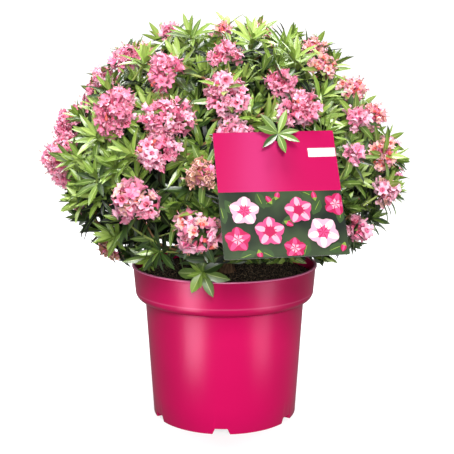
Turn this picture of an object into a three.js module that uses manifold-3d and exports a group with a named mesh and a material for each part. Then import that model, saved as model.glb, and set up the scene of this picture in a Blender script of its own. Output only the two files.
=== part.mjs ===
// A potted azalea shrub in full bloom: a nursery pot filled with peat, a short stem, thirteen
// boughs that each carry one mass of leaves and flower trusses, and the blank care card that
// hangs on a front twig. Millimetres, +Z up, with the origin on the flat underside of the pot.
import * as THREE from 'three';
import { mergeVertices } from 'three/addons/utils/BufferGeometryUtils.js';
import Module from 'manifold-3d';

const wasm = await Module();
wasm.setup();

// Gap that neighbouring solids keep.
const CLEARANCE = 0.3;

// Pot: a moulded nursery container of five litres.
const POT_HEIGHT = 190;
const POT_WALL = 2;
const POT_FLOOR = 10;
const BASE_RADIUS = 90;
const SHOULDER_RADIUS = 99;
const SHOULDER_HEIGHT = 146;
const BAND_FOOT_RADIUS = 111;
const BAND_FOOT_HEIGHT = 157;
const BAND_TOP_RADIUS = 113.5;
const LIP_RADIUS = 115;
const LIP_DEPTH = 3;
const POT_EDGE = 1;
const POT_SIDES = 32;
const FLARE_STEPS = 2;

// Drainage notches in the bottom edge, each with a channel under the floor and a drain hole.
const NOTCH_COUNT = 6;
const NOTCH_FIRST_AZIMUTH = -2.5;
const NOTCH_FOOT_WIDTH = 22;
const NOTCH_TOP_WIDTH = 15;
const NOTCH_HEIGHT = 7;
const CHANNEL_INNER_RADIUS = 64;
const CHANNEL_OUTER_RADIUS = 96;
const DRAIN_RADIUS = 4;
const DRAIN_PLACE = 76;
const DRAIN_SIDES = 8;

// Peat in the pot.
const SOIL_HEIGHT = 178;
const SOIL_EDGE_DROP = 3;
const SOIL_RELIEF = 1.6;
const SOIL_LEVEL_RADIUS = 24;
const SOIL_RINGS = [100, 62, 24];

// Crown: the reach of the leaf tips, measured from the heart of the crown.
const HEART_HEIGHT = 255;
const CROWN_REACH = 242;
const CROWN_TOP_LOSS = 10;
const SHOULDER_GAIN = 15;
const SHOULDER_RISE = 70;
const SHOULDER_SPAN = 24;
const LEFT_LOSS = 14;
const CROWN_BELLY = 15;
const CROWN_HEM = -22;
const CROWN_HEM_LOSS = 0.36;
const SKIRT_RADIUS = 145;
const SKIRT_HEIGHT = 186;
const FRONT_HEM_HEIGHT = 187;
const FRONT_HEM_SLOPE = 0.21;
const FRONT_HEM_HALF = 115;

// Rings of boughs, each bough with its mass: elevation and first azimuth in degrees.
const LOW_RING = { name: 'low', count: 7, elevation: -8, azimuth: -10 };
const HIGH_RING = { name: 'high', count: 5, elevation: 38, azimuth: 2 };
const TOP_RING = { name: 'top', count: 1, elevation: 90, azimuth: 0 };

// Stem and boughs.
const STEM_TOP = 238;
const STEM_LEAN = new THREE.Vector3(5, -3, 0);
const STEM_RADII = [15, 11, 10, 9.4, 8.6, 7];
const STEM_SIDES = 8;
const BOUGH_END = 96;
const BOUGH_SIDES = 6;
const BOUGH_STEPS = 3;
const BOUGH_RADII = { low: [5, 3.2], high: [4.8, 3.2], top: [5.4, 3.4] };
const BOUGH_ROOT_HEIGHTS = { low: [198, 212], high: [222, 229], top: [236] };
const BOUGH_SAG = { low: -9, high: 6, top: 0 };

// Twigs inside a mass.
const MASS_GAP = 1;
const FORK_REACH = { low: 108, high: 124, top: 124 };
const CORE_REACH = { low: 128, high: 142, top: 142 };
const CORE_RADIUS = { low: 52, high: 64, top: 62 };
const CORE_ROUGHNESS = 0.2;
const CORE_DEPTH = 42;
const TWIG_CORNERS = 3;
const FORK_RADIUS = 3.2;
const TWIG_RADIUS = 2.8;
const SHOOT_RADIUS = 2.4;
const FORK_DEPTH_COST = 0.35;
const MIN_TWIG_CLIMB = 14;

// Shoots: how the tips are spread over the crown.
const SPREAD_TRUSSES = 100;
const SPREAD_SHOOTS = 200;
const FRONT_HALF = 97;
const TRUSS_LOWEST = -10;
const SHOOT_LOWEST = -28;
const TRUSS_ROOM = 35;
const SHOOT_INSET = 30;
const TRUSS_INSET = 25;
const INSET_SPREAD = 7;

// Leaves in whorls, larger than life because they are fewer. A leaf tries each lean in turn.
// The marks of a leaf are the points of its outline that lie between two notches.
const LEAF_WIDTH = 14;
const LEAF_BROADEST = 0.45;
const LEAF_HALF_ANGLE = 17;
const LEAF_SHRINK = 0.93;
const LEAF_ROOM = 7;
const HUB_ABOVE = 1.5;
const HUB_BELOW = 4;
const SHOOT_WHORL = { count: 6, marks: 4, length: 48, stub: 5, leans: [62, 76, 48, 88, 34] };
const TRUSS_WHORL = { count: 5, marks: 2, length: 50, stub: 9, leans: [78, 66, 90, 54] };
const CARD_WHORL = { count: 6, marks: 4, length: 30, stub: 4, leans: [84, 66, 50] };

// Trusses: domes of blossom at the ends of the shoots that flowered, each with its collar of
// leaves. The rings of a dome are given as share of its radius and of its height.
const TRUSS_RADIUS = 25;
const TRUSS_ROUGHNESS = 0.16;
const TRUSS_SMALLEST = 11;
const TRUSS_RINGS = [[0.72, 0.55], [1, 0.05], [0.62, -0.45]];
const TRUSS_TOP = 0.85;

// Trusses that open towards the front: azimuth and elevation in degrees, and radius.
const FRONT_TRUSSES = [
  [-82, 48, 26], [-43, 36, 27], [-82, 30, 23], [-75, 19, 25], [-64, 56, 17],
  [-25, 50, 26], [-19, 33, 26], [-20, 23, 20], [1, 56, 20], [0, 43, 22],
  [3, 33, 20], [24, 46, 26], [26, 36, 24], [-3, 84, 19], [71, 78, 19],
  [80, 61, 21], [57, 53, 20], [72, 43, 25], [52, 33, 20], [68, 33, 23],
  [62, 21, 24], [44, 22, 17], [60, 10, 21], [54, -2, 22], [-27, 10, 25],
  [-7, 1, 25], [-6, 18, 16], [-76, 73, 18], [-58, -11, 14], [90, 22, 20],
];

// Care card with its hanging hole.
const CARD_WIDTH = 124;
const CARD_HEIGHT = 133;
const CARD_THICKNESS = 0.8;
const CARD_CENTRE = new THREE.Vector3(55, -213, 303);
const CARD_AZIMUTH = 8.6;
const CARD_LEAN = 28.9;
const CARD_ROLL = 0.9;
const CARD_HOLE_RADIUS = 3;
const CARD_HOLE_PLACE = new THREE.Vector2(2.9, 59);
const CARD_HOLE_SIDES = 12;
const CARD_MARGIN = 1;

// Twig that the card hangs on.
const CARD_TWIG_RADIUS = 1.3;
const CARD_TWIG_SIDES = 6;
const CARD_TWIG_BEHIND = 30;
const CARD_TWIG_AHEAD = 15;

const GOLDEN_ANGLE = 180 * (3 - Math.sqrt(5));
const SKEW = new THREE.Vector3(0.31, 0.17, 0.93).normalize();
const LEAF_MARKS = [0.35, 0.55, 0.75, 1];

// Materials.
const POT_PLASTIC = finish('magenta plastic', 0xc4045c, 0.32);
const PEAT = finish('dark peat', 0x2b1d14, 0.95);
const BARK = finish('brown bark', 0x6b4a30, 0.85);
const FOLIAGE = finish('leaves and blossom', 0x5f9a3a, 0.6);
const CARD_STOCK = finish('printed card', 0xd41467, 0.4);

function finish(name, color, roughness) {
  return new THREE.MeshStandardMaterial({ name, color, roughness, metalness: 0 });
}

// Repeatable draws between 0 and 1.
function seeded(seed) {
  let state = seed;
  return () => {
    state = (state * 16807) % 2147483647;
    return state / 2147483647;
  };
}

// Unit vector: azimuth 0 faces the front, -Y, and grows towards +X.
function heading(azimuth, elevation) {
  const turn = THREE.MathUtils.degToRad(azimuth);
  const rise = THREE.MathUtils.degToRad(elevation);
  const level = Math.cos(rise);
  return new THREE.Vector3(Math.sin(turn) * level, -Math.cos(turn) * level, Math.sin(rise));
}

function elevationOf(point) {
  return THREE.MathUtils.radToDeg(Math.asin(point.z / point.length()));
}

// Geometry with its shared vertices merged.
function welded(geometry) {
  const shell = geometry.clone();
  shell.deleteAttribute('normal');
  shell.deleteAttribute('uv');
  return mergeVertices(shell, 1e-3);
}

// Closed solid from a geometry, with its faces turned outwards and empty faces left out.
function solidOf(geometry) {
  const shell = welded(geometry);
  const place = shell.attributes.position;
  const corners = [];
  let volume = 0;
  for (let i = 0; i < shell.index.count; i += 3) {
    const [a, b, c] = [0, 1, 2].map((k) => shell.index.getX(i + k));
    if (a === b || b === c || c === a) continue;
    corners.push(a, b, c);
    const [p, q, r] = [a, b, c].map((k) => new THREE.Vector3().fromBufferAttribute(place, k));
    volume += p.dot(q.cross(r));
  }
  if (volume < 0) corners.reverse();
  return new wasm.Manifold(new wasm.Mesh({
    numProp: 3,
    vertProperties: Float32Array.from(place.array),
    triVerts: Uint32Array.from(corners),
  }));
}

// The main body of a solid: loose scraps are dropped and sealed hollows filled. It is taken
// once more from the merged mesh, where a hair-thin joint may have come apart.
function mainBody(solid) {
  const largest = (bodies) => (
    bodies.reduce((best, body) => (body.volume() > best.volume() ? body : best)));
  return largest(solidOf(geometryOf(largest(solid.decompose()))).decompose());
}

function geometryOf(solid) {
  const mesh = solid.getMesh();
  const geometry = new THREE.BufferGeometry();
  geometry.setAttribute('position', new THREE.BufferAttribute(mesh.vertProperties, 3));
  geometry.setIndex(new THREE.BufferAttribute(mesh.triVerts, 1));
  geometry.computeVertexNormals();
  return geometry;
}

// Moves every vertex of a welded geometry by a rule.
function reshaped(geometry, rule) {
  const shell = welded(geometry);
  const place = shell.attributes.position;
  const point = new THREE.Vector3();
  for (let i = 0; i < place.count; i += 1) {
    point.fromBufferAttribute(place, i);
    const moved = rule(point);
    place.setXYZ(i, moved.x, moved.y, moved.z);
  }
  return shell;
}

// Closed skin of rings with as many columns each. A row gives the point of a column, and the
// first and last rows give one point each.
function skin(columns, rows) {
  const geometry = new THREE.SphereGeometry(1, columns, rows.length - 1);
  const place = geometry.attributes.position;
  rows.forEach((row, i) => {
    for (let column = 0; column <= columns; column += 1) {
      const point = row(column % columns);
      place.setXYZ(i * (columns + 1) + column, point.x, point.y, point.z);
    }
  });
  return geometry;
}

// Straight sides bent along a curve: a cylinder whose length follows the curve and whose
// radius follows a list, from foot to tip.
function bentTaper(curve, radii, sides, steps) {
  const frames = frameAlong(curve, steps);
  return reshaped(new THREE.CylinderGeometry(1, 1, 1, sides, steps), (point) => {
    const share = point.y + 0.5;
    const frame = frames[Math.round(share * steps)];
    const spot = share * (radii.length - 1);
    const lower = Math.min(Math.floor(spot), radii.length - 2);
    const radius = THREE.MathUtils.lerp(radii[lower], radii[lower + 1], spot - lower);
    return frame.centre.clone()
      .addScaledVector(frame.side, point.x * radius)
      .addScaledVector(frame.back, point.z * radius);
  });
}

// Centres and cross directions at even steps of a curve, without twist.
function frameAlong(curve, steps) {
  const frames = [];
  let side = new THREE.Vector3(1, 0, 0);
  for (let i = 0; i <= steps; i += 1) {
    const tangent = curve.getTangent(i / steps);
    if (i === 0 && Math.abs(tangent.x) > 0.8) side = new THREE.Vector3(0, 1, 0);
    side = side.clone().addScaledVector(tangent, -side.dot(tangent)).normalize();
    const back = side.clone().cross(tangent);
    frames.push({ centre: curve.getPoint(i / steps), side, back });
  }
  return frames;
}

// Radius of the plain body of the pot at a height.
function bodyRadius(height) {
  return THREE.MathUtils.lerp(BASE_RADIUS, SHOULDER_RADIUS, height / SHOULDER_HEIGHT);
}

// Radius of the rim band at a height.
function bandRadius(height) {
  const share = (height - BAND_FOOT_HEIGHT) / (POT_HEIGHT - LIP_DEPTH - BAND_FOOT_HEIGHT);
  return THREE.MathUtils.lerp(BAND_FOOT_RADIUS, BAND_TOP_RADIUS, share);
}

// Line of the pot's wall, set in by a distance, from a foot height to a top height.
function wallLine(inset, foot, top) {
  const line = [new THREE.Vector2(bodyRadius(foot) - inset, foot)];
  for (let i = 0; i <= FLARE_STEPS; i += 1) {
    const turn = (Math.PI / 2) * (i / FLARE_STEPS);
    const radius = SHOULDER_RADIUS + (BAND_FOOT_RADIUS - SHOULDER_RADIUS) * Math.sin(turn);
    const height = BAND_FOOT_HEIGHT - (BAND_FOOT_HEIGHT - SHOULDER_HEIGHT) * Math.cos(turn);
    line.push(new THREE.Vector2(radius - inset, height + inset));
  }
  line.push(new THREE.Vector2(bandRadius(top) - inset, top));
  return line;
}

function turned(profile) {
  return new THREE.LatheGeometry(profile, POT_SIDES).rotateX(Math.PI / 2);
}

function potShell() {
  const lipFoot = POT_HEIGHT - LIP_DEPTH;
  const outer = wallLine(0, POT_EDGE, lipFoot);
  const inner = wallLine(POT_WALL, POT_FLOOR, lipFoot).reverse();
  return solidOf(turned([
    new THREE.Vector2(0, 0),
    new THREE.Vector2(BASE_RADIUS - POT_EDGE, 0),
    ...outer,
    new THREE.Vector2(LIP_RADIUS, lipFoot + POT_EDGE / 2),
    new THREE.Vector2(LIP_RADIUS, POT_HEIGHT - POT_EDGE),
    new THREE.Vector2(LIP_RADIUS - POT_EDGE, POT_HEIGHT),
    new THREE.Vector2(BAND_TOP_RADIUS - POT_WALL + POT_EDGE, POT_HEIGHT),
    ...inner,
    new THREE.Vector2(0, POT_FLOOR),
  ]));
}

// Notch with its channel: a tapered bar pushed in under the floor from the front.
function drainChannel() {
  const section = new THREE.Shape([
    new THREE.Vector2(-NOTCH_FOOT_WIDTH / 2, -1),
    new THREE.Vector2(NOTCH_FOOT_WIDTH / 2, -1),
    new THREE.Vector2(NOTCH_TOP_WIDTH / 2, NOTCH_HEIGHT),
    new THREE.Vector2(-NOTCH_TOP_WIDTH / 2, NOTCH_HEIGHT),
  ]);
  const depth = CHANNEL_OUTER_RADIUS - CHANNEL_INNER_RADIUS;
  return new THREE.ExtrudeGeometry(section, { depth, bevelEnabled: false })
    .rotateX(Math.PI / 2)
    .translate(0, -CHANNEL_INNER_RADIUS, 0);
}

function drainHole() {
  return new THREE.CylinderGeometry(DRAIN_RADIUS, DRAIN_RADIUS, POT_FLOOR * 2, DRAIN_SIDES)
    .rotateX(Math.PI / 2)
    .translate(0, -DRAIN_PLACE, POT_FLOOR);
}

function makePot() {
  let pot = potShell();
  for (let i = 0; i < NOTCH_COUNT; i += 1) {
    const turn = THREE.MathUtils.degToRad(NOTCH_FIRST_AZIMUTH + (360 / NOTCH_COUNT) * i);
    pot = pot.subtract(solidOf(drainChannel().rotateZ(turn)));
    pot = pot.subtract(solidOf(drainHole().rotateZ(turn)));
  }
  return pot;
}

// Small rises and dips of the peat, level where the stem stands and along the wall.
function soilRelief(x, y) {
  const out = Math.hypot(x, y);
  if (out <= SOIL_LEVEL_RADIUS + 1 || out > SOIL_RINGS[0] + 1) return 0;
  return SOIL_RELIEF * (Math.sin(x / 9) * Math.cos(y / 11) + Math.sin((x + 2 * y) / 15));
}

function makeSoil() {
  const inset = POT_WALL + CLEARANCE;
  const foot = POT_FLOOR + CLEARANCE;
  const edge = SOIL_HEIGHT - SOIL_EDGE_DROP;
  const profile = [
    new THREE.Vector2(0, foot),
    ...wallLine(inset, foot, edge),
    ...SOIL_RINGS.map((radius) => new THREE.Vector2(radius, SOIL_HEIGHT)),
    new THREE.Vector2(0, SOIL_HEIGHT),
  ];
  return solidOf(reshaped(turned(profile), (point) => {
    if (point.z < edge + 1) return point;
    return point.clone().setZ(point.z + soilRelief(point.x, point.y));
  }));
}

// Everything below is measured from the heart of the crown.

function stemGeometry(extra) {
  const foot = new THREE.Vector3(0, 0, SOIL_HEIGHT + CLEARANCE - HEART_HEIGHT);
  const top = STEM_LEAN.clone().setZ(STEM_TOP + extra - HEART_HEIGHT);
  const knee = foot.clone().lerp(top, 0.5).setX(0).setY(0);
  const curve = new THREE.QuadraticBezierCurve3(foot, knee, top);
  const radii = STEM_RADII.map((radius) => radius + extra);
  return bentTaper(curve, radii, STEM_SIDES, STEM_RADII.length - 1);
}

// One bough: from the stem's side to where its mass begins.
function boughCurve(mass) {
  const heights = BOUGH_ROOT_HEIGHTS[mass.ring];
  const height = heights[mass.number % heights.length];
  const foot = SOIL_HEIGHT + CLEARANCE;
  const share = (height - foot) / (STEM_TOP - foot);
  const root = STEM_LEAN.clone().multiplyScalar(share * share).setZ(height - HEART_HEIGHT);
  const end = mass.direction.clone().multiplyScalar(BOUGH_END);
  const bend = root.clone().lerp(end, 0.5);
  bend.z += BOUGH_SAG[mass.ring];
  return new THREE.QuadraticBezierCurve3(root, bend, end);
}

function boughGeometry(mass, extra) {
  const radii = BOUGH_RADII[mass.ring].map((radius) => radius + extra);
  return bentTaper(boughCurve(mass), radii, BOUGH_SIDES, BOUGH_STEPS);
}

// Masses of the crown with their directions from the heart.
function crownMasses() {
  const masses = [];
  for (const ring of [LOW_RING, HIGH_RING, TOP_RING]) {
    for (let number = 0; number < ring.count; number += 1) {
      const azimuth = ring.azimuth + (360 / ring.count) * number;
      const label = ring.count > 1 ? `${ring.name}_${number + 1}` : ring.name;
      masses.push({ ring: ring.name, number, label, direction: heading(azimuth, ring.elevation) });
    }
  }
  return masses;
}

// Card frame: its own axes and a test that a piece stays clear of it.
const cardTurn = new THREE.Matrix4().makeRotationZ(THREE.MathUtils.degToRad(CARD_AZIMUTH));
cardTurn.multiply(new THREE.Matrix4().makeRotationX(THREE.MathUtils.degToRad(90 - CARD_LEAN)));
cardTurn.multiply(new THREE.Matrix4().makeRotationZ(THREE.MathUtils.degToRad(CARD_ROLL)));
const cardPlace = cardTurn.clone().setPosition(CARD_CENTRE.clone().setZ(CARD_CENTRE.z - HEART_HEIGHT));
const cardFrame = cardPlace.clone().invert();

function clearOfCard(points) {
  const local = points.map((point) => point.clone().applyMatrix4(cardFrame));
  const halfWidth = CARD_WIDTH / 2 + CARD_MARGIN;
  const halfHeight = CARD_HEIGHT / 2 + CARD_MARGIN;
  return local.every((p) => p.x > halfWidth) || local.every((p) => p.x < -halfWidth)
    || local.every((p) => p.y > halfHeight) || local.every((p) => p.y < -halfHeight)
    || local.every((p) => p.z > CARD_THICKNESS + CARD_MARGIN)
    || local.every((p) => p.z < -CARD_MARGIN);
}

// How far from the heart the crown reaches in a direction.
function reachOf(direction) {
  const rise = elevationOf(direction);
  const shoulder = Math.max(0, 1 - ((rise - SHOULDER_RISE) / SHOULDER_SPAN) ** 2);
  let reach = CROWN_REACH - CROWN_TOP_LOSS * Math.max(0, direction.z / direction.length()) ** 6;
  reach += SHOULDER_GAIN * shoulder;
  if (rise < CROWN_BELLY) {
    const sink = (CROWN_BELLY - rise) / (CROWN_BELLY - CROWN_HEM);
    reach = CROWN_REACH * (1 - CROWN_HEM_LOSS * Math.min(sink, 1) ** 1.25);
  }
  if (rise < CROWN_HEM) reach = SKIRT_RADIUS / Math.cos(THREE.MathUtils.degToRad(rise));
  return reach - LEFT_LOSS * Math.max(0, -direction.x / direction.length()) ** 4;
}

// Distance from the heart to the card in a direction, or none where the card isn't met.
function cardDistance(direction) {
  const start = new THREE.Vector3().applyMatrix4(cardFrame);
  const step = direction.clone().applyMatrix4(cardFrame).sub(start);
  const distance = -start.z / step.z;
  const spot = start.addScaledVector(step, distance);
  const inside = Math.abs(spot.x) < CARD_WIDTH / 2 + LEAF_WIDTH
    && Math.abs(spot.y) < CARD_HEIGHT / 2 + LEAF_WIDTH;
  return distance > 0 && inside ? distance : Infinity;
}

// Space of the pot up to its rim, which the leaves are cut clear of.
function potGuard() {
  const [out, top] = [LIP_RADIUS + CLEARANCE, POT_HEIGHT + CLEARANCE];
  const profile = [
    new THREE.Vector2(0, 0), new THREE.Vector2(out, 0),
    new THREE.Vector2(out, top), new THREE.Vector2(0, top),
  ];
  return solidOf(turned(profile).translate(0, 0, -HEART_HEIGHT));
}

function clearOfPot(point) {
  const height = point.z + HEART_HEIGHT;
  const out = Math.hypot(point.x, point.y);
  const hem = FRONT_HEM_HEIGHT + FRONT_HEM_SLOPE * Math.max(0, -point.y);
  if (Math.abs(point.x) < FRONT_HEM_HALF && height < hem) return false;
  return out < LIP_RADIUS + 2 ? height > POT_HEIGHT + 1.5 : height > SKIRT_HEIGHT;
}

// A piece fits a mass when it stays in the mass's own wedge of the crown, within the crown's
// reach, off the pot and off the card.
function fits(mass, masses, points) {
  const hull = points.concat(points.slice(1).map((point) => point.clone().lerp(points[0], 0.5)));
  return hull.every((point) => clearOfPot(point) && point.length() <= reachOf(point))
    && masses.every((other) => other === mass || points.every((point) => {
      const apart = mass.direction.clone().sub(other.direction).normalize();
      return point.dot(apart) > MASS_GAP / 2;
    }))
    && clearOfCard(points);
}

// Even spread of directions over the whole sphere.
function evenSpread(count) {
  return Array.from({ length: count }, (_, i) => {
    const height = 1 - (2 * i + 1) / count;
    return heading(i * GOLDEN_ANGLE, THREE.MathUtils.radToDeg(Math.asin(height)));
  });
}

function azimuthOf(direction) {
  return THREE.MathUtils.radToDeg(Math.atan2(direction.x, -direction.y));
}

function farFrom(direction, shoots, room) {
  return shoots.every((shoot) => direction.distanceTo(shoot.direction) * CROWN_REACH > room);
}

// Tips of all shoots: trusses placed at the front, trusses and leafy shoots spread by rule.
function crownShoots() {
  const draw = seeded(2024);
  const shoots = FRONT_TRUSSES.map(([azimuth, elevation, radius]) => (
    { direction: heading(azimuth, elevation), truss: radius }));
  for (const direction of evenSpread(SPREAD_TRUSSES)) {
    const behind = Math.abs(azimuthOf(direction)) > FRONT_HALF;
    if (!behind || elevationOf(direction) < TRUSS_LOWEST) continue;
    if (!farFrom(direction, shoots, TRUSS_ROOM)) continue;
    shoots.push({ direction, truss: TRUSS_RADIUS * (0.8 + 0.25 * draw()) });
  }
  const trusses = shoots.slice();
  for (const direction of evenSpread(SPREAD_SHOOTS)) {
    if (elevationOf(direction) < SHOOT_LOWEST) continue;
    if (farFrom(direction, trusses, TRUSS_ROOM)) shoots.push({ direction, truss: 0 });
  }
  for (const shoot of shoots) {
    const inset = (shoot.truss ? TRUSS_INSET : SHOOT_INSET) + INSET_SPREAD * (draw() - 0.3);
    const reach = Math.min(reachOf(shoot.direction), cardDistance(shoot.direction));
    shoot.tip = shoot.direction.clone().multiplyScalar(reach - inset);
  }
  return shoots;
}

function nearestMass(masses, direction) {
  return masses.reduce((best, mass) => (
    mass.direction.dot(direction) > best.direction.dot(direction) ? mass : best));
}

// Where the stem of a mass first forks.
function firstFork(mass) {
  return mass.direction.clone().multiplyScalar(FORK_REACH[mass.ring]);
}

// The shoots of one mass with their feet: each grows from the fork that makes its way short,
// and offers a fork of its own half way.
function footedShoots(mass, shoots) {
  const forks = [{ point: firstFork(mass), depth: 0 }];
  const ordered = shoots.slice().sort((a, b) => (
    b.direction.dot(mass.direction) - a.direction.dot(mass.direction)));
  return ordered.map((shoot) => {
    const open = forks.filter((node, i) => (
      i === 0 || node.point.length() < shoot.tip.length() - MIN_TWIG_CLIMB));
    const cost = (node) => node.point.distanceTo(shoot.tip) + FORK_DEPTH_COST * node.depth;
    const from = open.reduce((best, node) => (cost(node) < cost(best) ? node : best));
    const middle = from.point.clone().lerp(shoot.tip, 0.5);
    forks.push({ point: middle, depth: from.depth + middle.distanceTo(from.point) });
    const axis = shoot.tip.clone().sub(from.point).normalize().add(shoot.direction).normalize();
    return { ...shoot, foot: from.point, axis };
  });
}

// Cross directions of a shoot's axis.
function crossOf(axis) {
  const side = axis.clone().cross(SKEW).normalize();
  return { side, back: axis.clone().cross(side) };
}

// One leaf of a whorl as its middle and edge points.
function leafPoints(hub, axis, out, lean, length) {
  const tilt = THREE.MathUtils.degToRad(lean);
  const along = axis.clone().multiplyScalar(Math.cos(tilt)).addScaledVector(out, Math.sin(tilt));
  const across = axis.clone().cross(out);
  const spread = length * LEAF_BROADEST * Math.sin(tilt);
  const widest = spread * Math.tan(THREE.MathUtils.degToRad(LEAF_HALF_ANGLE));
  const half = Math.min(LEAF_WIDTH / 2, widest);
  const middle = hub.clone().addScaledVector(along, length * LEAF_BROADEST);
  return {
    tip: hub.clone().addScaledVector(along, length),
    right: middle.clone().addScaledVector(across, half),
    left: middle.clone().addScaledVector(across, -half),
    line: LEAF_MARKS.map((share) => hub.clone().addScaledVector(along, length * share)),
  };
}

// The first lean at which a leaf fits and crosses no leaf of another shoot.
function settledLeaf(hub, axis, out, form, size, fit, laid) {
  for (const [attempt, lean] of form.leans.entries()) {
    const leaf = leafPoints(hub, axis, out, lean, size * LEAF_SHRINK ** attempt);
    const free = leaf.line.every((a) => laid.every((b) => a.distanceTo(b) > LEAF_ROOM));
    if (free && fit([hub, ...leaf.line, leaf.left, leaf.right])) return leaf;
  }
  return null;
}

// Outline of a whorl: a star of leaves round a hub. A leaf that finds no place stays a stub.
function starOutline(shoot, form, start, draw, fit, laid) {
  const { side, back } = crossOf(shoot.axis);
  const turned = (turn) => side.clone().multiplyScalar(Math.cos(turn))
    .addScaledVector(back, Math.sin(turn));
  const stub = (turn) => shoot.tip.clone().addScaledVector(turned(turn), form.stub);
  const step = (2 * Math.PI) / form.count;
  const leaves = Array.from({ length: form.count }, (_, i) => {
    const turn = start + step * (i + 0.24 * (draw() - 0.5));
    const size = form.length * (0.86 + 0.24 * draw());
    const leaf = settledLeaf(shoot.tip, shoot.axis, turned(turn), form, size, fit, laid);
    const end = stub(turn);
    return leaf ?? { tip: end, right: end, left: end, line: [] };
  });
  laid.push(...leaves.flatMap((leaf) => leaf.line));
  return leaves.flatMap((leaf, i) => {
    const notch = leaf.line.length ? stub(start + step * (i + 0.5)) : leaf.tip;
    const next = leaves[(i + 1) % form.count];
    return form.marks === 2 ? [leaf.tip, notch] : [leaf.tip, leaf.right, notch, next.left];
  });
}

// A shoot with its head in one skin: rings from the top of the head down to the foot of the
// twig, which has three corners.
function grownShoot(shoot, rings, top, start) {
  const columns = rings[0].length;
  const { side, back } = crossOf(shoot.axis);
  const corner = (column) => {
    const third = Math.floor((column * TWIG_CORNERS) / columns) + 0.5;
    const turn = start + (2 * Math.PI * third) / TWIG_CORNERS;
    return side.clone().multiplyScalar(Math.cos(turn)).addScaledVector(back, Math.sin(turn));
  };
  const neck = shoot.tip.clone().addScaledVector(shoot.axis, -HUB_BELOW);
  const rows = [
    () => top,
    ...rings.map((ring) => (column) => ring[column]),
    (column) => neck.clone().addScaledVector(corner(column), SHOOT_RADIUS),
    (column) => shoot.foot.clone().addScaledVector(corner(column), TWIG_RADIUS),
    () => shoot.foot,
  ];
  return skin(columns, rows);
}

function leafyShoot(shoot, form, draw, fit, laid) {
  const start = draw();
  const outline = starOutline(shoot, form, start, draw, fit, laid);
  const top = shoot.tip.clone().addScaledVector(shoot.axis, HUB_ABOVE);
  return grownShoot(shoot, [outline], top, start);
}

// Lumpy dome of a truss as rings of points, smaller where it would leave the mass's space.
function domeRings(shoot, columns, start, draw, fit) {
  const { side, back } = crossOf(shoot.axis);
  const seed = 1 + Math.floor(draw() * 100000);
  for (let radius = shoot.truss; radius >= TRUSS_SMALLEST; radius -= 2) {
    const bump = seeded(seed);
    const rings = TRUSS_RINGS.map(([out, up]) => Array.from({ length: columns }, (_, column) => {
      const turn = start + (2 * Math.PI * column) / columns;
      const size = radius * (1 - TRUSS_ROUGHNESS * bump());
      return shoot.tip.clone()
        .addScaledVector(side, Math.cos(turn) * out * size)
        .addScaledVector(back, Math.sin(turn) * out * size)
        .addScaledVector(shoot.axis, up * size);
    }));
    const top = shoot.tip.clone().addScaledVector(shoot.axis, TRUSS_TOP * radius);
    if (fit([top, ...rings.flat()])) return { rings, top, radius };
  }
  return null;
}

function floweringShoot(shoot, draw, fit, laid) {
  const start = draw();
  const form = TRUSS_WHORL;
  const dome = domeRings(shoot, form.count * form.marks, start, draw, fit);
  if (!dome) return leafyShoot(shoot, SHOOT_WHORL, draw, fit, laid);
  const collar = { ...shoot, tip: shoot.tip.clone().addScaledVector(shoot.axis, -dome.radius / 2) };
  const outline = starOutline(collar, form, start, draw, fit, laid);
  return grownShoot(collar, [...dome.rings, outline], dome.top, start);
}

// Dense inside of a mass, drawn in where it would leave the mass's space. The leaves and
// trusses stand out of it.
function core(mass, draw, fit) {
  const centre = mass.direction.clone().multiplyScalar(CORE_REACH[mass.ring]);
  return reshaped(new THREE.IcosahedronGeometry(1, 1), (point) => {
    let radius = CORE_RADIUS[mass.ring] * (1 - CORE_ROUGHNESS * draw());
    const place = () => point.clone().multiplyScalar(radius).add(centre);
    const deep = () => reachOf(place()) - place().length() > CORE_DEPTH;
    while (!fit([place()]) || !deep()) radius -= 2;
    return place();
  });
}

// Twig through the card's hole, with the whorl of leaves in front of the card.
function cardShoot(mass, draw, fit) {
  const hole = new THREE.Vector3(CARD_HOLE_PLACE.x, CARD_HOLE_PLACE.y, 0);
  const roof = CARD_HOLE_RADIUS * Math.cos(Math.PI / CARD_HOLE_SIDES);
  hole.y += roof - CLEARANCE - CARD_TWIG_RADIUS;
  const place = (z) => hole.clone().setZ(z).applyMatrix4(cardPlace);
  const behind = place(-CARD_TWIG_BEHIND);
  const feed = new THREE.LineCurve3(firstFork(mass), place(-CARD_TWIG_BEHIND - TWIG_RADIUS));
  const run = new THREE.LineCurve3(place(-CARD_TWIG_BEHIND - 2 * TWIG_RADIUS), place(CARD_TWIG_AHEAD));
  const radii = [CARD_TWIG_RADIUS, CARD_TWIG_RADIUS];
  const tip = place(CARD_TWIG_AHEAD + HUB_BELOW);
  const shoot = { tip, foot: place(CARD_TWIG_AHEAD - HUB_BELOW), axis: tip.clone().sub(behind).normalize() };
  return [
    bentTaper(feed, [TWIG_RADIUS, TWIG_RADIUS], CARD_TWIG_SIDES, 1),
    bentTaper(run, radii, CARD_TWIG_SIDES, 1),
    leafyShoot(shoot, CARD_WHORL, draw, fit, []),
  ];
}

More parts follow.
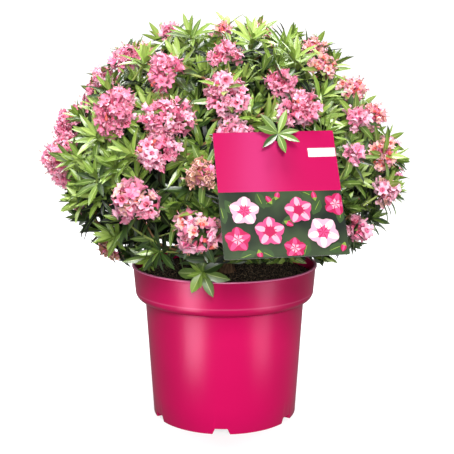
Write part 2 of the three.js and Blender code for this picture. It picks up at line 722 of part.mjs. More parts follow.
// One mass of the crown: its stem, core, and shoots with their heads fused in one.
function makeMass(mass, masses, shoots, carriesCard) {
  const draw = seeded(105 + 37 * masses.indexOf(mass));
  const fit = (points) => fits(mass, masses, points);
  const bough = boughCurve(mass);
  const start = bough.getPoint(1).addScaledVector(bough.getTangent(1), CLEARANCE);
  const fork = firstFork(mass);
  const lead = start.clone().addScaledVector(bough.getTangent(1), start.distanceTo(fork) / 2);
  const stem = new THREE.QuadraticBezierCurve3(start, lead, fork);
  const pieces = [
    bentTaper(stem, [BOUGH_RADII[mass.ring][1], FORK_RADIUS], BOUGH_SIDES, 3),
    core(mass, draw, fit),
  ];
  const laid = [];
  for (const shoot of footedShoots(mass, shoots)) {
    pieces.push(shoot.truss ? floweringShoot(shoot, draw, fit, laid)
      : leafyShoot(shoot, SHOOT_WHORL, draw, fit, laid));
  }
  if (carriesCard) {
    pieces.push(...cardShoot(mass, draw, (points) => clearOfCard(points)));
  }
  return pieces.map(solidOf).reduce((whole, piece) => whole.add(piece));
}

function makeCard() {
  const [w, h] = [CARD_WIDTH / 2, CARD_HEIGHT / 2];
  const outline = new THREE.Shape([
    new THREE.Vector2(-w, -h), new THREE.Vector2(w, -h),
    new THREE.Vector2(w, h), new THREE.Vector2(-w, h),
  ]);
  const rim = Array.from({ length: CARD_HOLE_SIDES }, (_, i) => {
    const turn = (2 * Math.PI * (i + 0.5)) / CARD_HOLE_SIDES;
    return new THREE.Vector2(Math.cos(turn), Math.sin(turn))
      .multiplyScalar(CARD_HOLE_RADIUS).add(CARD_HOLE_PLACE);
  });
  outline.holes.push(new THREE.Path(rim.reverse()));
  return new THREE.ExtrudeGeometry(outline, { depth: CARD_THICKNESS, bevelEnabled: false });
}

function named(name, geometry, material) {
  const mesh = new THREE.Mesh(geometry, material);
  mesh.name = name;
  return mesh;
}

// Assembly: pot, peat and card, and the plant round its heart.
const shrub = new THREE.Group();
shrub.add(named('pot', geometryOf(makePot()), POT_PLASTIC));
shrub.add(named('soil', geometryOf(makeSoil()), PEAT));

const plant = new THREE.Group();
plant.position.z = HEART_HEIGHT;
shrub.add(plant);

plant.add(named('stem', geometryOf(solidOf(stemGeometry(0))), BARK));
const grownLimbs = [solidOf(stemGeometry(CLEARANCE))];
const masses = crownMasses();
for (const mass of masses) {
  const bough = grownLimbs.reduce((limb, other) => limb.subtract(other), solidOf(boughGeometry(mass, 0)));
  plant.add(named(`bough_${mass.label}`, geometryOf(mainBody(bough)), BARK));
  grownLimbs.push(solidOf(boughGeometry(mass, CLEARANCE)));
}

const shoots = crownShoots();
const cardHole = new THREE.Vector3(CARD_HOLE_PLACE.x, CARD_HOLE_PLACE.y, 0).applyMatrix4(cardPlace);
const hanging = nearestMass(masses, cardHole);
const taken = [...grownLimbs, potGuard()];
for (const mass of masses) {
  const own = shoots.filter((shoot) => nearestMass(masses, shoot.direction) === mass);
  let foliage = makeMass(mass, masses, own, mass === hanging);
  for (const other of taken) foliage = foliage.subtract(other);
  plant.add(named(`leaf_mass_${mass.label}`, geometryOf(mainBody(foliage)), FOLIAGE));
}

const card = named('care_card', makeCard(), CARD_STOCK);
card.applyMatrix4(cardPlace);
plant.add(card);

export default shrub;
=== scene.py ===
"""Looks of a potted azalea shrub in full bloom.

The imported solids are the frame. Twigs, leaves and blossom grow on from the same limbs by the same
rule as in the solids, carried to finer shoots. The pot, its peat and the care card are remade with
their finishes. The frame is in metres, +Z up, with the front towards -Y. The sizes below are in
millimetres.
"""

import logging
import math
from dataclasses import dataclass, field, replace
from enum import Enum
from typing import Any, Callable, Sequence

import bpy
import numpy as np
from mathutils import Matrix, Vector


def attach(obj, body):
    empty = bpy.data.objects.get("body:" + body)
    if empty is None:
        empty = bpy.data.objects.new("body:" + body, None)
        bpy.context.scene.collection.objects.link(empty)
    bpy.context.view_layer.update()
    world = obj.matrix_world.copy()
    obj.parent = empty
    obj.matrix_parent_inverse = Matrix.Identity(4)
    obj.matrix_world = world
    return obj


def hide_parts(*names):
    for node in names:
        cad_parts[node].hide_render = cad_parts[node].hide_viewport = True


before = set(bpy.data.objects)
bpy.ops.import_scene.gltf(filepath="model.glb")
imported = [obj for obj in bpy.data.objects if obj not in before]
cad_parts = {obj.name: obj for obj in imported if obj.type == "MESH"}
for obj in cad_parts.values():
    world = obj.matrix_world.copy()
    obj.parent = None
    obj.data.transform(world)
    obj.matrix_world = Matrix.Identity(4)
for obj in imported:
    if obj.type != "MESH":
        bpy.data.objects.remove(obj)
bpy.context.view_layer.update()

MM = 0.001
UP = np.array([0.0, 0.0, 1.0])
# A direction that no shoot follows, to measure turns from.
SKEW = np.array([0.31, 0.17, 0.93])
# Lengths are kept off nothing by this before they divide.
TINY = 1e-9
ROOT_BODY = "root"
GOLDEN_TURN = 180 * (3 - math.sqrt(5))

Array = np.ndarray
Random = np.random.Generator
Material = bpy.types.Material
Piece = bpy.types.Object
Pair = tuple[float, float]
Triple = tuple[float, float, float]
Floats = tuple[float, ...]

log = logging.getLogger("azalea")


# Shader maths.


class Value:
    """A shader socket that takes part in Python expressions."""

    def __init__(self, paint: "Paint", socket: bpy.types.NodeSocket) -> None:
        """Wraps a socket of a paint's node tree."""
        self.paint = paint
        self.socket = socket

    def _maths(self, operation: str, first: Any, second: Any) -> "Value":
        """Result of a new Math node with an operation and two numbers or values."""
        node = self.paint.node("ShaderNodeMath", {"operation": operation}, {0: first, 1: second})
        return Value(self.paint, node.outputs[0])

    def __add__(self, other: Any) -> "Value":
        """Adds."""
        return self._maths("ADD", self, other)

    def __radd__(self, other: Any) -> "Value":
        """Adds to a number."""
        return self._maths("ADD", other, self)

    def __sub__(self, other: Any) -> "Value":
        """Subtracts."""
        return self._maths("SUBTRACT", self, other)

    def __rsub__(self, other: Any) -> "Value":
        """Subtracts from a number."""
        return self._maths("SUBTRACT", other, self)

    def __mul__(self, other: Any) -> "Value":
        """Multiplies."""
        return self._maths("MULTIPLY", self, other)

    def __rmul__(self, other: Any) -> "Value":
        """Multiplies a number."""
        return self._maths("MULTIPLY", other, self)

    def __truediv__(self, other: Any) -> "Value":
        """Divides."""
        return self._maths("DIVIDE", self, other)

    def __rpow__(self, other: Any) -> "Value":
        """Raises a number to this power."""
        return self._maths("POWER", other, self)

    def __gt__(self, other: Any) -> "Value":
        """Gives 1 where this is greater, else 0."""
        return self._maths("GREATER_THAN", self, other)


@dataclass(frozen=True)
class Grain:
    """A noise pattern: its scale per metre, its detail and its stretch along X, Y and Z."""

    scale: float
    detail: float
    stretch: Triple = (1, 1, 1)


@dataclass(frozen=True)
class Feel:
    """What light meets: depth of the relief in metres, its strength, roughness and gloss."""

    relief: float
    strength: float
    roughness: float
    roughness_change: float
    gloss: float


class Paint:
    """A material under construction, with its nodes."""

    def __init__(self, name: str) -> None:
        """Starts a material with a Principled surface.

        Args:
            name: The material's name.
        """
        self.material = bpy.data.materials.new(name)
        self.material.use_nodes = True
        self.tree = self.material.node_tree
        self.surface = self.tree.nodes["Principled BSDF"]

    def node(self, kind: str, settings: dict[str, Any], inputs: dict[Any, Any]) -> bpy.types.Node:
        """Adds a node.

        Args:
            kind: The node's type.
            settings: Its settings, set first. A ramp takes its stops as "stops".
            inputs: Numbers, colours or values by socket name or number.

        Returns:
            The node.
        """
        node = self.tree.nodes.new(kind)
        for name, setting in settings.items():
            if name == "stops":
                self._set_stops(node.color_ramp, setting)
            else:
                setattr(node, name, setting)
        for key, given in inputs.items():
            self.feed(node.inputs[key], given)
        return node

    def feed(self, socket: bpy.types.NodeSocket, given: Any) -> None:
        """Links a value to a socket, or sets a number or colour on it.

        Args:
            socket: The input socket.
            given: The value, number or colour.
        """
        if isinstance(given, Value):
            self.tree.links.new(given.socket, socket)
        else:
            socket.default_value = given

    @staticmethod
    def _set_stops(ramp: bpy.types.ColorRamp, stops: Sequence[tuple[float, tuple]]) -> None:
        """Gives a ramp its stops.

        Args:
            ramp: The ramp.
            stops: Place and colour of each stop.
        """
        while len(ramp.elements) < len(stops):
            ramp.elements.new(1.0)
        for element, (place, colour) in zip(ramp.elements, stops):
            element.position = place
            element.color = colour

    def place(self) -> Value:
        """Object coordinates."""
        return Value(self, self.node("ShaderNodeTexCoord", {}, {}).outputs["Object"])

    def along(self, axis: str) -> Value:
        """One axis of the place, as "X", "Y" or "Z"."""
        return Value(self, self.node("ShaderNodeSeparateXYZ", {}, {0: self.place()}).outputs[axis])

    def distance(self) -> Value:
        """Distance from the origin."""
        node = self.node("ShaderNodeVectorMath", {"operation": "LENGTH"}, {0: self.place()})
        return Value(self, node.outputs[1])

    def noise(self, grain: Grain) -> Value:
        """Noise over the place.

        Args:
            grain: The pattern.

        Returns:
            The pattern's value, about 0 to 1.
        """
        mapping = self.node("ShaderNodeMapping", {}, {"Vector": self.place(), "Scale": grain.stretch})
        vector = Value(self, mapping.outputs["Vector"])
        inputs = {"Vector": vector, "Scale": grain.scale, "Detail": grain.detail}
        return Value(self, self.node("ShaderNodeTexNoise", {}, inputs).outputs["Fac"])

    def blend(self, share: Any, first: Any, second: Any) -> Value:
        """Mixes two colours by a share."""
        node = self.node("ShaderNodeMix", {"data_type": "RGBA"}, {0: share, 6: first, 7: second})
        return Value(self, node.outputs[2])

    def clipped(self, share: Value) -> Value:
        """A share kept between nothing and one."""
        return Value(self, self.node("ShaderNodeClamp", {}, {0: share}).outputs[0])

    def ramp(self, share: Value, stops: Sequence[tuple[float, tuple]]) -> Value:
        """A colour ramp over a value."""
        node = self.node("ShaderNodeValToRGB", {"stops": stops}, {"Fac": share})
        return Value(self, node.outputs["Color"])

    def dress(self, **inputs: Any) -> Material:
        """Sets the surface's inputs.

        Args:
            inputs: Numbers, colours or values by socket name, with underscores for spaces.

        Returns:
            The material.
        """
        for name, given in inputs.items():
            self.feed(self.surface.inputs[name.replace("_", " ")], given)
        return self.material

    def finish(self, colour: Any, height: Value, wear: Value, feel: Feel) -> Material:
        """Gives the Principled surface its colour, relief, roughness and gloss.

        Args:
            colour: Base colour.
            height: Pattern of the relief.
            wear: Pattern of the roughness.
            feel: How deep, rough and glossy the surface is.

        Returns:
            The material.
        """
        inputs = {"Height": height, "Distance": feel.relief, "Strength": feel.strength}
        return self.dress(
            Base_Color=colour,
            Roughness=feel.roughness + wear * feel.roughness_change,
            Specular_IOR_Level=feel.gloss,
            Normal=Value(self, self.node("ShaderNodeBump", {}, inputs).outputs["Normal"]),
        )


class Sky(Paint):
    """The studio's surroundings, painted by direction."""

    def __init__(self, name: str) -> None:
        """Starts a world with a Background surface.

        Args:
            name: The world's name.
        """
        self.material = bpy.data.worlds.new(name)
        self.material.use_nodes = True
        self.tree = self.material.node_tree
        self.surface = self.tree.nodes["Background"]

    def place(self) -> Value:
        """The direction looked in, -1 to 1 along each axis."""
        return Value(self, self.node("ShaderNodeTexCoord", {}, {}).outputs["Generated"])


def linear(red: int, green: int, blue: int) -> tuple[float, float, float, float]:
    """A colour of the screen, each part 0 to 255, as linear red, green, blue and alpha, 0 to 1."""
    shares = [part / 255 for part in (red, green, blue)]
    return (*(s / 12.92 if s <= 0.04045 else ((s + 0.055) / 1.055) ** 2.4 for s in shares), 1.0)


def grey(level: float) -> tuple[float, float, float, float]:
    """A neutral colour of a linear level."""
    return (level, level, level, 1.0)


# Finishes.


@dataclass(frozen=True)
class PlasticFinish:
    """Moulded magenta plastic of the pot, with a painted highlight along the lip and at the band's foot.
    In metres.
    """

    body: tuple = linear(205, 1, 88)
    shade: tuple = linear(193, 1, 82)
    # Pale pink of the painted highlight along the lip and the band's foot.
    edge: tuple = linear(246, 142, 186)
    lip_highlight_height: float = 0.1885
    lip_highlight_share: float = 0.85
    foot_highlight_height: float = 0.1572
    foot_highlight_width: float = 0.0012
    foot_highlight_share: float = 0.2
    cloud: Grain = Grain(14.0, 2.0)
    pores: Grain = Grain(2600.0, 2.0)
    flow: Grain = Grain(240.0, 3.0, (1, 1, 0.12))
    pore_share: float = 0.7
    flow_share: float = 0.1
    feel: Feel = Feel(0.00003, 0.2, 0.3, 0.04, 0.24)

    def material(self) -> Material:
        """Builds the material.

        Returns:
            The material.
        """
        paint = Paint("magenta_plastic")
        # Painted highlight: the edge colour over the lip, and fainter in a thin line at the band's foot.
        away = (paint.along("Z") - self.foot_highlight_height) / self.foot_highlight_width
        lip = (paint.along("Z") > self.lip_highlight_height) * self.lip_highlight_share
        pale = lip + paint.clipped(1 - away * away) * self.foot_highlight_share
        flow = paint.noise(self.flow)
        relief = paint.noise(self.pores) * self.pore_share + flow * self.flow_share
        plain = paint.blend(paint.noise(self.cloud), self.body, self.shade)
        return paint.finish(paint.blend(pale, plain, self.edge), relief, flow, self.feel)


@dataclass(frozen=True)
class PeatFinish:
    """Moist dark peat."""

    tones: tuple = ((0.46, linear(24, 18, 13)), (0.68, linear(176, 152, 122)))
    crumb: Grain = Grain(420.0, 6.0)
    fine: Grain = Grain(1500.0, 4.0)
    crumb_share: float = 0.6
    fine_relief: float = 0.5
    feel: Feel = Feel(0.0014, 0.9, 0.78, 0.2, 0.3)

    def material(self) -> Material:
        """Builds the material.

        Returns:
            The material.
        """
        paint = Paint("peat")
        crumb, fine = paint.noise(self.crumb), paint.noise(self.fine)
        colour = paint.ramp(crumb * self.crumb_share + fine * (1 - self.crumb_share), self.tones)
        return paint.finish(colour, crumb + fine * self.fine_relief, fine, self.feel)


@dataclass(frozen=True)
class BarkFinish:
    """Thin flaking bark of stem and boughs."""

    tones: tuple = ((0.35, linear(58, 40, 28)), (0.62, linear(126, 98, 72)))
    strips: Grain = Grain(330.0, 5.0, (1, 1, 0.25))
    specks: Grain = Grain(1400.0, 3.0)
    speck_relief: float = 0.3
    feel: Feel = Feel(0.0012, 0.8, 0.75, 0.15, 0.3)

    def material(self) -> Material:
        """Builds the material.

        Returns:
            The material.
        """
        paint = Paint("bark")
        strips, specks = paint.noise(self.strips), paint.noise(self.specks)
        relief = strips + specks * self.speck_relief
        return paint.finish(paint.ramp(strips, self.tones), relief, specks, self.feel)


@dataclass(frozen=True)
class PlainFinish:
    """One plain colour with a fine relief: a part of the plant, or an ink."""

    name: str
    colour: tuple
    roughness: float = 0.5
    gloss: float = 0.4
    relief: float = 0.00012
    scale: float = 900.0
    detail: float = 2.0
    strength: float = 0.6
    change: float = 0.1

    def material(self) -> Material:
        """Builds the material.

        Returns:
            The material.
        """
        paint = Paint(self.name)
        grain = paint.noise(Grain(self.scale, self.detail))
        roughness = self.roughness - self.change / 2
        feel = Feel(self.relief, self.strength, roughness, self.change, self.gloss)
        return paint.finish(self.colour, grain, grain, feel)


def ink(name: str, red: int, green: int, blue: int) -> PlainFinish:
    """A printed ink of the care card in a colour of the screen."""
    return PlainFinish(name, linear(red, green, blue), 0.4, 0.2, 0.00002)


class LeafTint(Enum):
    """Leaf colours by the age of the shoot, from the youngest to the oldest, then a painted shade for
    leaves deep in the crown.
    """

    YOUNG = PlainFinish("leaf_young", linear(150, 174, 84), 0.36, 0.8)
    FRESH = PlainFinish("leaf_fresh", linear(120, 148, 56), 0.36, 0.8)
    GREEN = PlainFinish("leaf_green", linear(88, 114, 42), 0.35, 0.8)
    DEEP = PlainFinish("leaf_deep", linear(44, 66, 25), 0.35, 0.8)
    # Painted shade: a near-black green for the leaves inside the crown and the darkest whorls beneath.
    SHADE = PlainFinish("leaf_shade", linear(11, 21, 7), 0.4, 0.45)
    RIB_LIGHT = PlainFinish("leaf_rib_light", linear(186, 202, 128), 0.5)
    RIB_DARK = PlainFinish("leaf_rib_dark", linear(104, 128, 66), 0.5)


class BloomTint(Enum):
    """Colours in the blossom."""

    BLUSH = PlainFinish("petal_blush", linear(242, 184, 203), 0.55, 0.25)
    PINK = PlainFinish("petal_pink", linear(233, 146, 173), 0.55, 0.25)
    ROSE = PlainFinish("petal_rose", linear(230, 131, 164), 0.55, 0.25)
    MAGENTA = PlainFinish("petal_magenta", linear(226, 112, 154), 0.55, 0.25)
    THROAT = PlainFinish("petal_throat", linear(196, 86, 112), 0.6, 0.2)
    SALMON = PlainFinish("petal_salmon", linear(240, 184, 172), 0.6, 0.2)
    CORAL = PlainFinish("bud_coral", linear(220, 104, 92), 0.5, 0.3)
    STAMEN = PlainFinish("stamen", linear(176, 116, 92), 0.6, 0.2)
    FADED = PlainFinish("petal_faded", linear(168, 124, 100), 0.7, 0.15)


class TwigTint(Enum):
    """Colours of the twigs."""

    BROWN = PlainFinish("twig_brown", linear(112, 82, 54), 0.7, 0.25, 0.0003, 1400.0)
    GREEN = PlainFinish("twig_green", linear(138, 152, 78), 0.55, 0.35)


class CardTint(Enum):
    """Inks of the care card's picture."""

    WHITE = ink("card_white", 200, 196, 198)
    BLOSSOM_PALE = ink("ink_pale", 196, 146, 164)
    BLOSSOM_PINK = ink("ink_pink", 180, 62, 110)
    BLOSSOM_DEEP = ink("ink_deep", 158, 10, 68)
    LEAF_LIGHT = ink("ink_leaf_light", 112, 134, 50)
    LEAF_DARK = ink("ink_leaf_dark", 46, 68, 32)


@dataclass(frozen=True)
class CardFinish:
    """What both halves of the card's front share."""

    fibre: Grain = Grain(1800.0, 2.0)
    feel: Feel = Feel(0.00002, 0.4, 0.42, 0.08, 0.1)


@dataclass(frozen=True)
class CardInkFinish(CardFinish):
    """Magenta upper half of the card, with a painted highlight: lighter along one upright band. In metres.
    """

    plain: tuple = linear(158, 1, 70)
    # Lighter magenta of the painted highlight band.
    light: tuple = linear(166, 42, 97)
    highlight_place: float = 0.032
    highlight_width: float = 0.024
    highlight_share: float = 0.75
    highlight_fall: float = 0.37

    def material(self) -> Material:
        """Builds the material.

        Returns:
            The material.
        """
        paint = Paint("card_magenta")
        # Painted highlight: the colour turns towards the lighter magenta along an upright band.
        away = (paint.along("X") - self.highlight_place) / self.highlight_width
        share = self.highlight_fall ** (away * away) * self.highlight_share
        fibre = paint.noise(self.fibre)
        return paint.finish(paint.blend(share, self.plain, self.light), fibre, fibre, self.feel)


@dataclass(frozen=True)
class CardGroundFinish(CardFinish):
    """Out-of-focus dark green ground of the card's picture."""

    tones: tuple = ((0.35, linear(24, 30, 25)), (0.7, linear(56, 70, 46)))
    cloud: Grain = Grain(26.0, 2.0)

    def material(self) -> Material:
        """Builds the material.

        Returns:
            The material.
        """
        paint = Paint("card_ground")
        fibre = paint.noise(self.fibre)
        return paint.finish(paint.ramp(paint.noise(self.cloud), self.tones), fibre, fibre, self.feel)


def paints_of(tints: type[Enum]) -> list[Material]:
    """Materials of the finishes in an Enum, in its order."""
    return [tint.value.material() for tint in tints]


def number_of(tint: Enum) -> int:
    """Material number of a tint: its place in its Enum."""
    return list(type(tint)).index(tint)


# Pieces and meshes.


def deselect_all() -> None:
    """Leaves object mode with nothing selected."""
    if bpy.context.object and bpy.context.object.mode != "OBJECT":
        bpy.ops.object.mode_set(mode="OBJECT")
    bpy.ops.object.select_all(action="DESELECT")


def piece_done(piece: Piece, name: str, nodes: Sequence[str] = ()) -> None:
    """Names a finished piece, rides it on the plant's one body and reports it.

    Args:
        piece: The finished object, its place in its mesh.
        name: The piece's name.
        nodes: CAD nodes that the piece stands for.
    """
    piece.name = name
    piece.data.name = name
    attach(piece, ROOT_BODY)
    if nodes:
        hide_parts(*nodes)
    log.info("%s: %d faces", name, len(piece.data.polygons))


def apply_modifier(piece: Piece, kind: str, **settings: Any) -> None:
    """Adds a modifier with its settings and applies it.

    Args:
        piece: The object, which becomes the active one.
        kind: The modifier's type.
        settings: Its settings by name.
    """
    bpy.context.view_layer.objects.active = piece
    modifier = piece.modifiers.new(kind.lower(), kind)
    for name, setting in settings.items():
        setattr(modifier, name, setting)
    bpy.ops.object.modifier_apply(modifier=modifier.name)


def cut_out(piece: Piece, cutter: Piece, **settings: Any) -> None:
    """Takes a cutter out of a piece, with more settings of the Boolean, and removes the cutter."""
    apply_modifier(piece, "BOOLEAN", operation="DIFFERENCE", solver="EXACT", object=cutter, **settings)
    bpy.data.objects.remove(cutter)


def joined(parts: Sequence[Piece]) -> Piece:
    """Joins parts into one object.

    Args:
        parts: The parts, each with its own mesh.

    Returns:
        The object.
    """
    deselect_all()
    for part in parts:
        part.select_set(True)
    bpy.context.view_layer.objects.active = parts[0]
    bpy.ops.object.join()
    return bpy.context.object


class Sheaf:
    """Many small things joined into one mesh, from arrays."""

    def __init__(self) -> None:
        """Starts empty."""
        self.points: list[Array] = []
        self.faces: list[Array] = []
        self.tints: list[Array] = []
        self.count = 0

    def add(self, points: Array, quads: Array, tints: Array) -> None:
        """Adds a batch of like things.

        Args:
            points: Corners, things by corners by 3, in millimetres.
            quads: Faces of one thing, faces by 4 corner numbers.
            tints: Material number of each face, things by faces.
        """
        things, corners = points.shape[:2]
        if not things:
            return
        starts = self.count + corners * np.arange(things)
        self.points.append(points.reshape(-1, 3))
        self.faces.append((quads[None] + starts[:, None, None]).reshape(-1, 4))
        self.tints.append(tints.reshape(-1))
        self.count += things * corners

    def build(self, name: str, materials: Sequence[Material]) -> Piece:
        """Makes the mesh object.

        Args:
            name: Name of the object.
            materials: Materials in the order of the tint numbers.

        Returns:
            The object.
        """
        points = np.concatenate(self.points) * MM
        faces = np.concatenate(self.faces)
        mesh = bpy.data.meshes.new(name)
        mesh.vertices.add(len(points))
        mesh.vertices.foreach_set("co", points.astype(np.float32).ravel())
        mesh.loops.add(faces.size)
        mesh.loops.foreach_set("vertex_index", faces.astype(np.int32).ravel())
        mesh.polygons.add(len(faces))
        mesh.polygons.foreach_set("loop_start", (4 * np.arange(len(faces))).astype(np.int32))
        for material in materials:
            mesh.materials.append(material)
        mesh.polygons.foreach_set("material_index", np.concatenate(self.tints).astype(np.int32))
        mesh.update(calc_edges=True)
        mesh.validate()
        mesh.shade_smooth()
        piece = bpy.data.objects.new(name, mesh)
        bpy.context.scene.collection.objects.link(piece)
        return piece

    def finish(
        self, name: str, materials: Sequence[Material], slot: str, nodes: Sequence[str] = ()
    ) -> None:
        """Makes the mesh object and finishes it as a piece, as build and piece_done say."""
        piece_done(self.build(name, materials), name, nodes)


def sheet_quads(rows: int, columns: int, closed: bool = False) -> Array:
    """Faces of a grid of points.

    Args:
        rows: Rows of points.
        columns: Points in a row.
        closed: Whether the last column meets the first.

    Returns:
        Faces by 4 point numbers.
    """
    spans = columns if closed else columns - 1
    row, column = np.meshgrid(np.arange(rows - 1), np.arange(spans), indexing="ij")
    near = row * columns + column
    far = row * columns + (column + 1) % columns
    return np.stack([near, far, far + columns, near + columns], axis=-1).reshape(-1, 4)


def unit(vectors: Array) -> Array:
    """Vectors at length 1."""
    return vectors / np.maximum(np.linalg.norm(vectors, axis=-1, keepdims=True), TINY)


def cross_frame(axes: Array) -> tuple[Array, Array]:
    """Two directions across each axis."""
    side = unit(np.cross(axes, unit(SKEW)))
    return side, np.cross(axes, side)


def turned(side: Array, back: Array, turn: float) -> Array:
    """Direction across an axis, at a turn in radians between its two directions across."""
    return side * math.cos(turn) + back * math.sin(turn)


def rings_around(side: Array, back: Array, corners: int) -> Array:
    """Ways to the corners of a regular ring around each axis, from two directions across it."""
    turn = 2 * math.pi * np.arange(corners) / corners
    return np.cos(turn)[:, None] * side[:, None] + np.sin(turn)[:, None] * back[:, None]


# The rule of growth, the same as in the solids.


class Draws:
    """Repeatable draws between 0 and 1."""

    MULTIPLIER = 16807
    MODULUS = 2147483647

    def __init__(self, seed: int) -> None:
        """Starts from a seed."""
        self.state = seed

    def __call__(self) -> float:
        """The next draw."""
        self.state = self.state * self.MULTIPLIER % self.MODULUS
        return self.state / self.MODULUS


def heading(azimuth: float, elevation: float) -> Array:
    """Turns angles into a direction.

    Args:
        azimuth: Degrees from the front, -Y, growing towards +X.
        elevation: Degrees above the horizon.

    Returns:
        The unit vector.
    """
    turn = math.radians(azimuth)
    rise = math.radians(elevation)
    level = math.cos(rise)
    return np.array([math.sin(turn) * level, -math.cos(turn) * level, math.sin(rise)])


def even_spread(count: int) -> list[Array]:
    """Directions spread evenly over the whole sphere."""
    rises = [math.degrees(math.asin(1 - (2 * i + 1) / count)) for i in range(count)]
    return [heading(i * GOLDEN_TURN, rise) for i, rise in enumerate(rises)]


def elevation_of(direction: Array) -> float:
    """Elevation of a unit vector in degrees."""
    return math.degrees(math.asin(direction[2]))


@dataclass
class RingSizes:
    """A ring of boughs, each with its mass of leaves."""

    name: str
    count: int
    elevation: float
    azimuth: float
    fork_reach: float
    bough_radii: Pair
    root_heights: Floats
    sag: float


@dataclass
class Mass:
    """One mass of the crown: its ring, number and direction from the heart."""

    ring: RingSizes
    number: int
    direction: Array

    @property
    def node(self) -> str:
        """Name of the mass without its prefix."""
        return f"{self.ring.name}_{self.number + 1}" if self.ring.count > 1 else self.ring.name


@dataclass
class Shoot:
    """A shoot of the crown. Truss is the radius of its blossom, 0 where it only has leaves."""

    direction: Array
    truss: float = 0.0
    fine: bool = False
    inner: bool = False
    tip: Array = field(default_factory=lambda: np.zeros(3))
    foot: Array = field(default_factory=lambda: np.zeros(3))
    axis: Array = field(default_factory=lambda: np.zeros(3))


@dataclass
class CardPlace:
    """Where the care card hangs, measured from the pot's foot."""

    width: float = 124.0
    height: float = 133.0
    thickness: float = 0.8
    centre: Triple = (55.0, -213.0, 303.0)
    azimuth: float = 8.6
    lean: float = 28.9
    roll: float = 0.9
    hole_radius: float = 3.0
    hole: Pair = (2.9, 59.0)

    def matrix(self) -> Array:
        """Works out the card's own frame: X along its width, Y up its height, Z out of its front.

        Returns:
            A 4 by 4 matrix, in millimetres.
        """
        turn = Matrix.Rotation(math.radians(self.azimuth), 4, "Z")
        turn = turn @ Matrix.Rotation(math.radians(90 - self.lean), 4, "X")
        turn = turn @ Matrix.Rotation(math.radians(self.roll), 4, "Z")
        return np.array(Matrix.Translation(Vector(self.centre)) @ turn)

    def to_card(self, points: Array) -> Array:
        """Points of the row frame, in millimetres, in the card's own frame."""
        back = np.linalg.inv(self.matrix())
        return points @ back[:3, :3].T + back[:3, 3]

    def covers(self, local: Array, margin: float) -> Array:
        """Which points of the card's own frame lie over the card or a margin beyond its edges."""
        wide = np.abs(local[..., 0]) < self.width / 2 + margin
        return wide & (np.abs(local[..., 1]) < self.height / 2 + margin)

    def from_card(self, points: Array) -> Array:
        """Points of the card's own frame in the row frame."""
        there = self.matrix()
        return points @ there[:3, :3].T + there[:3, 3]


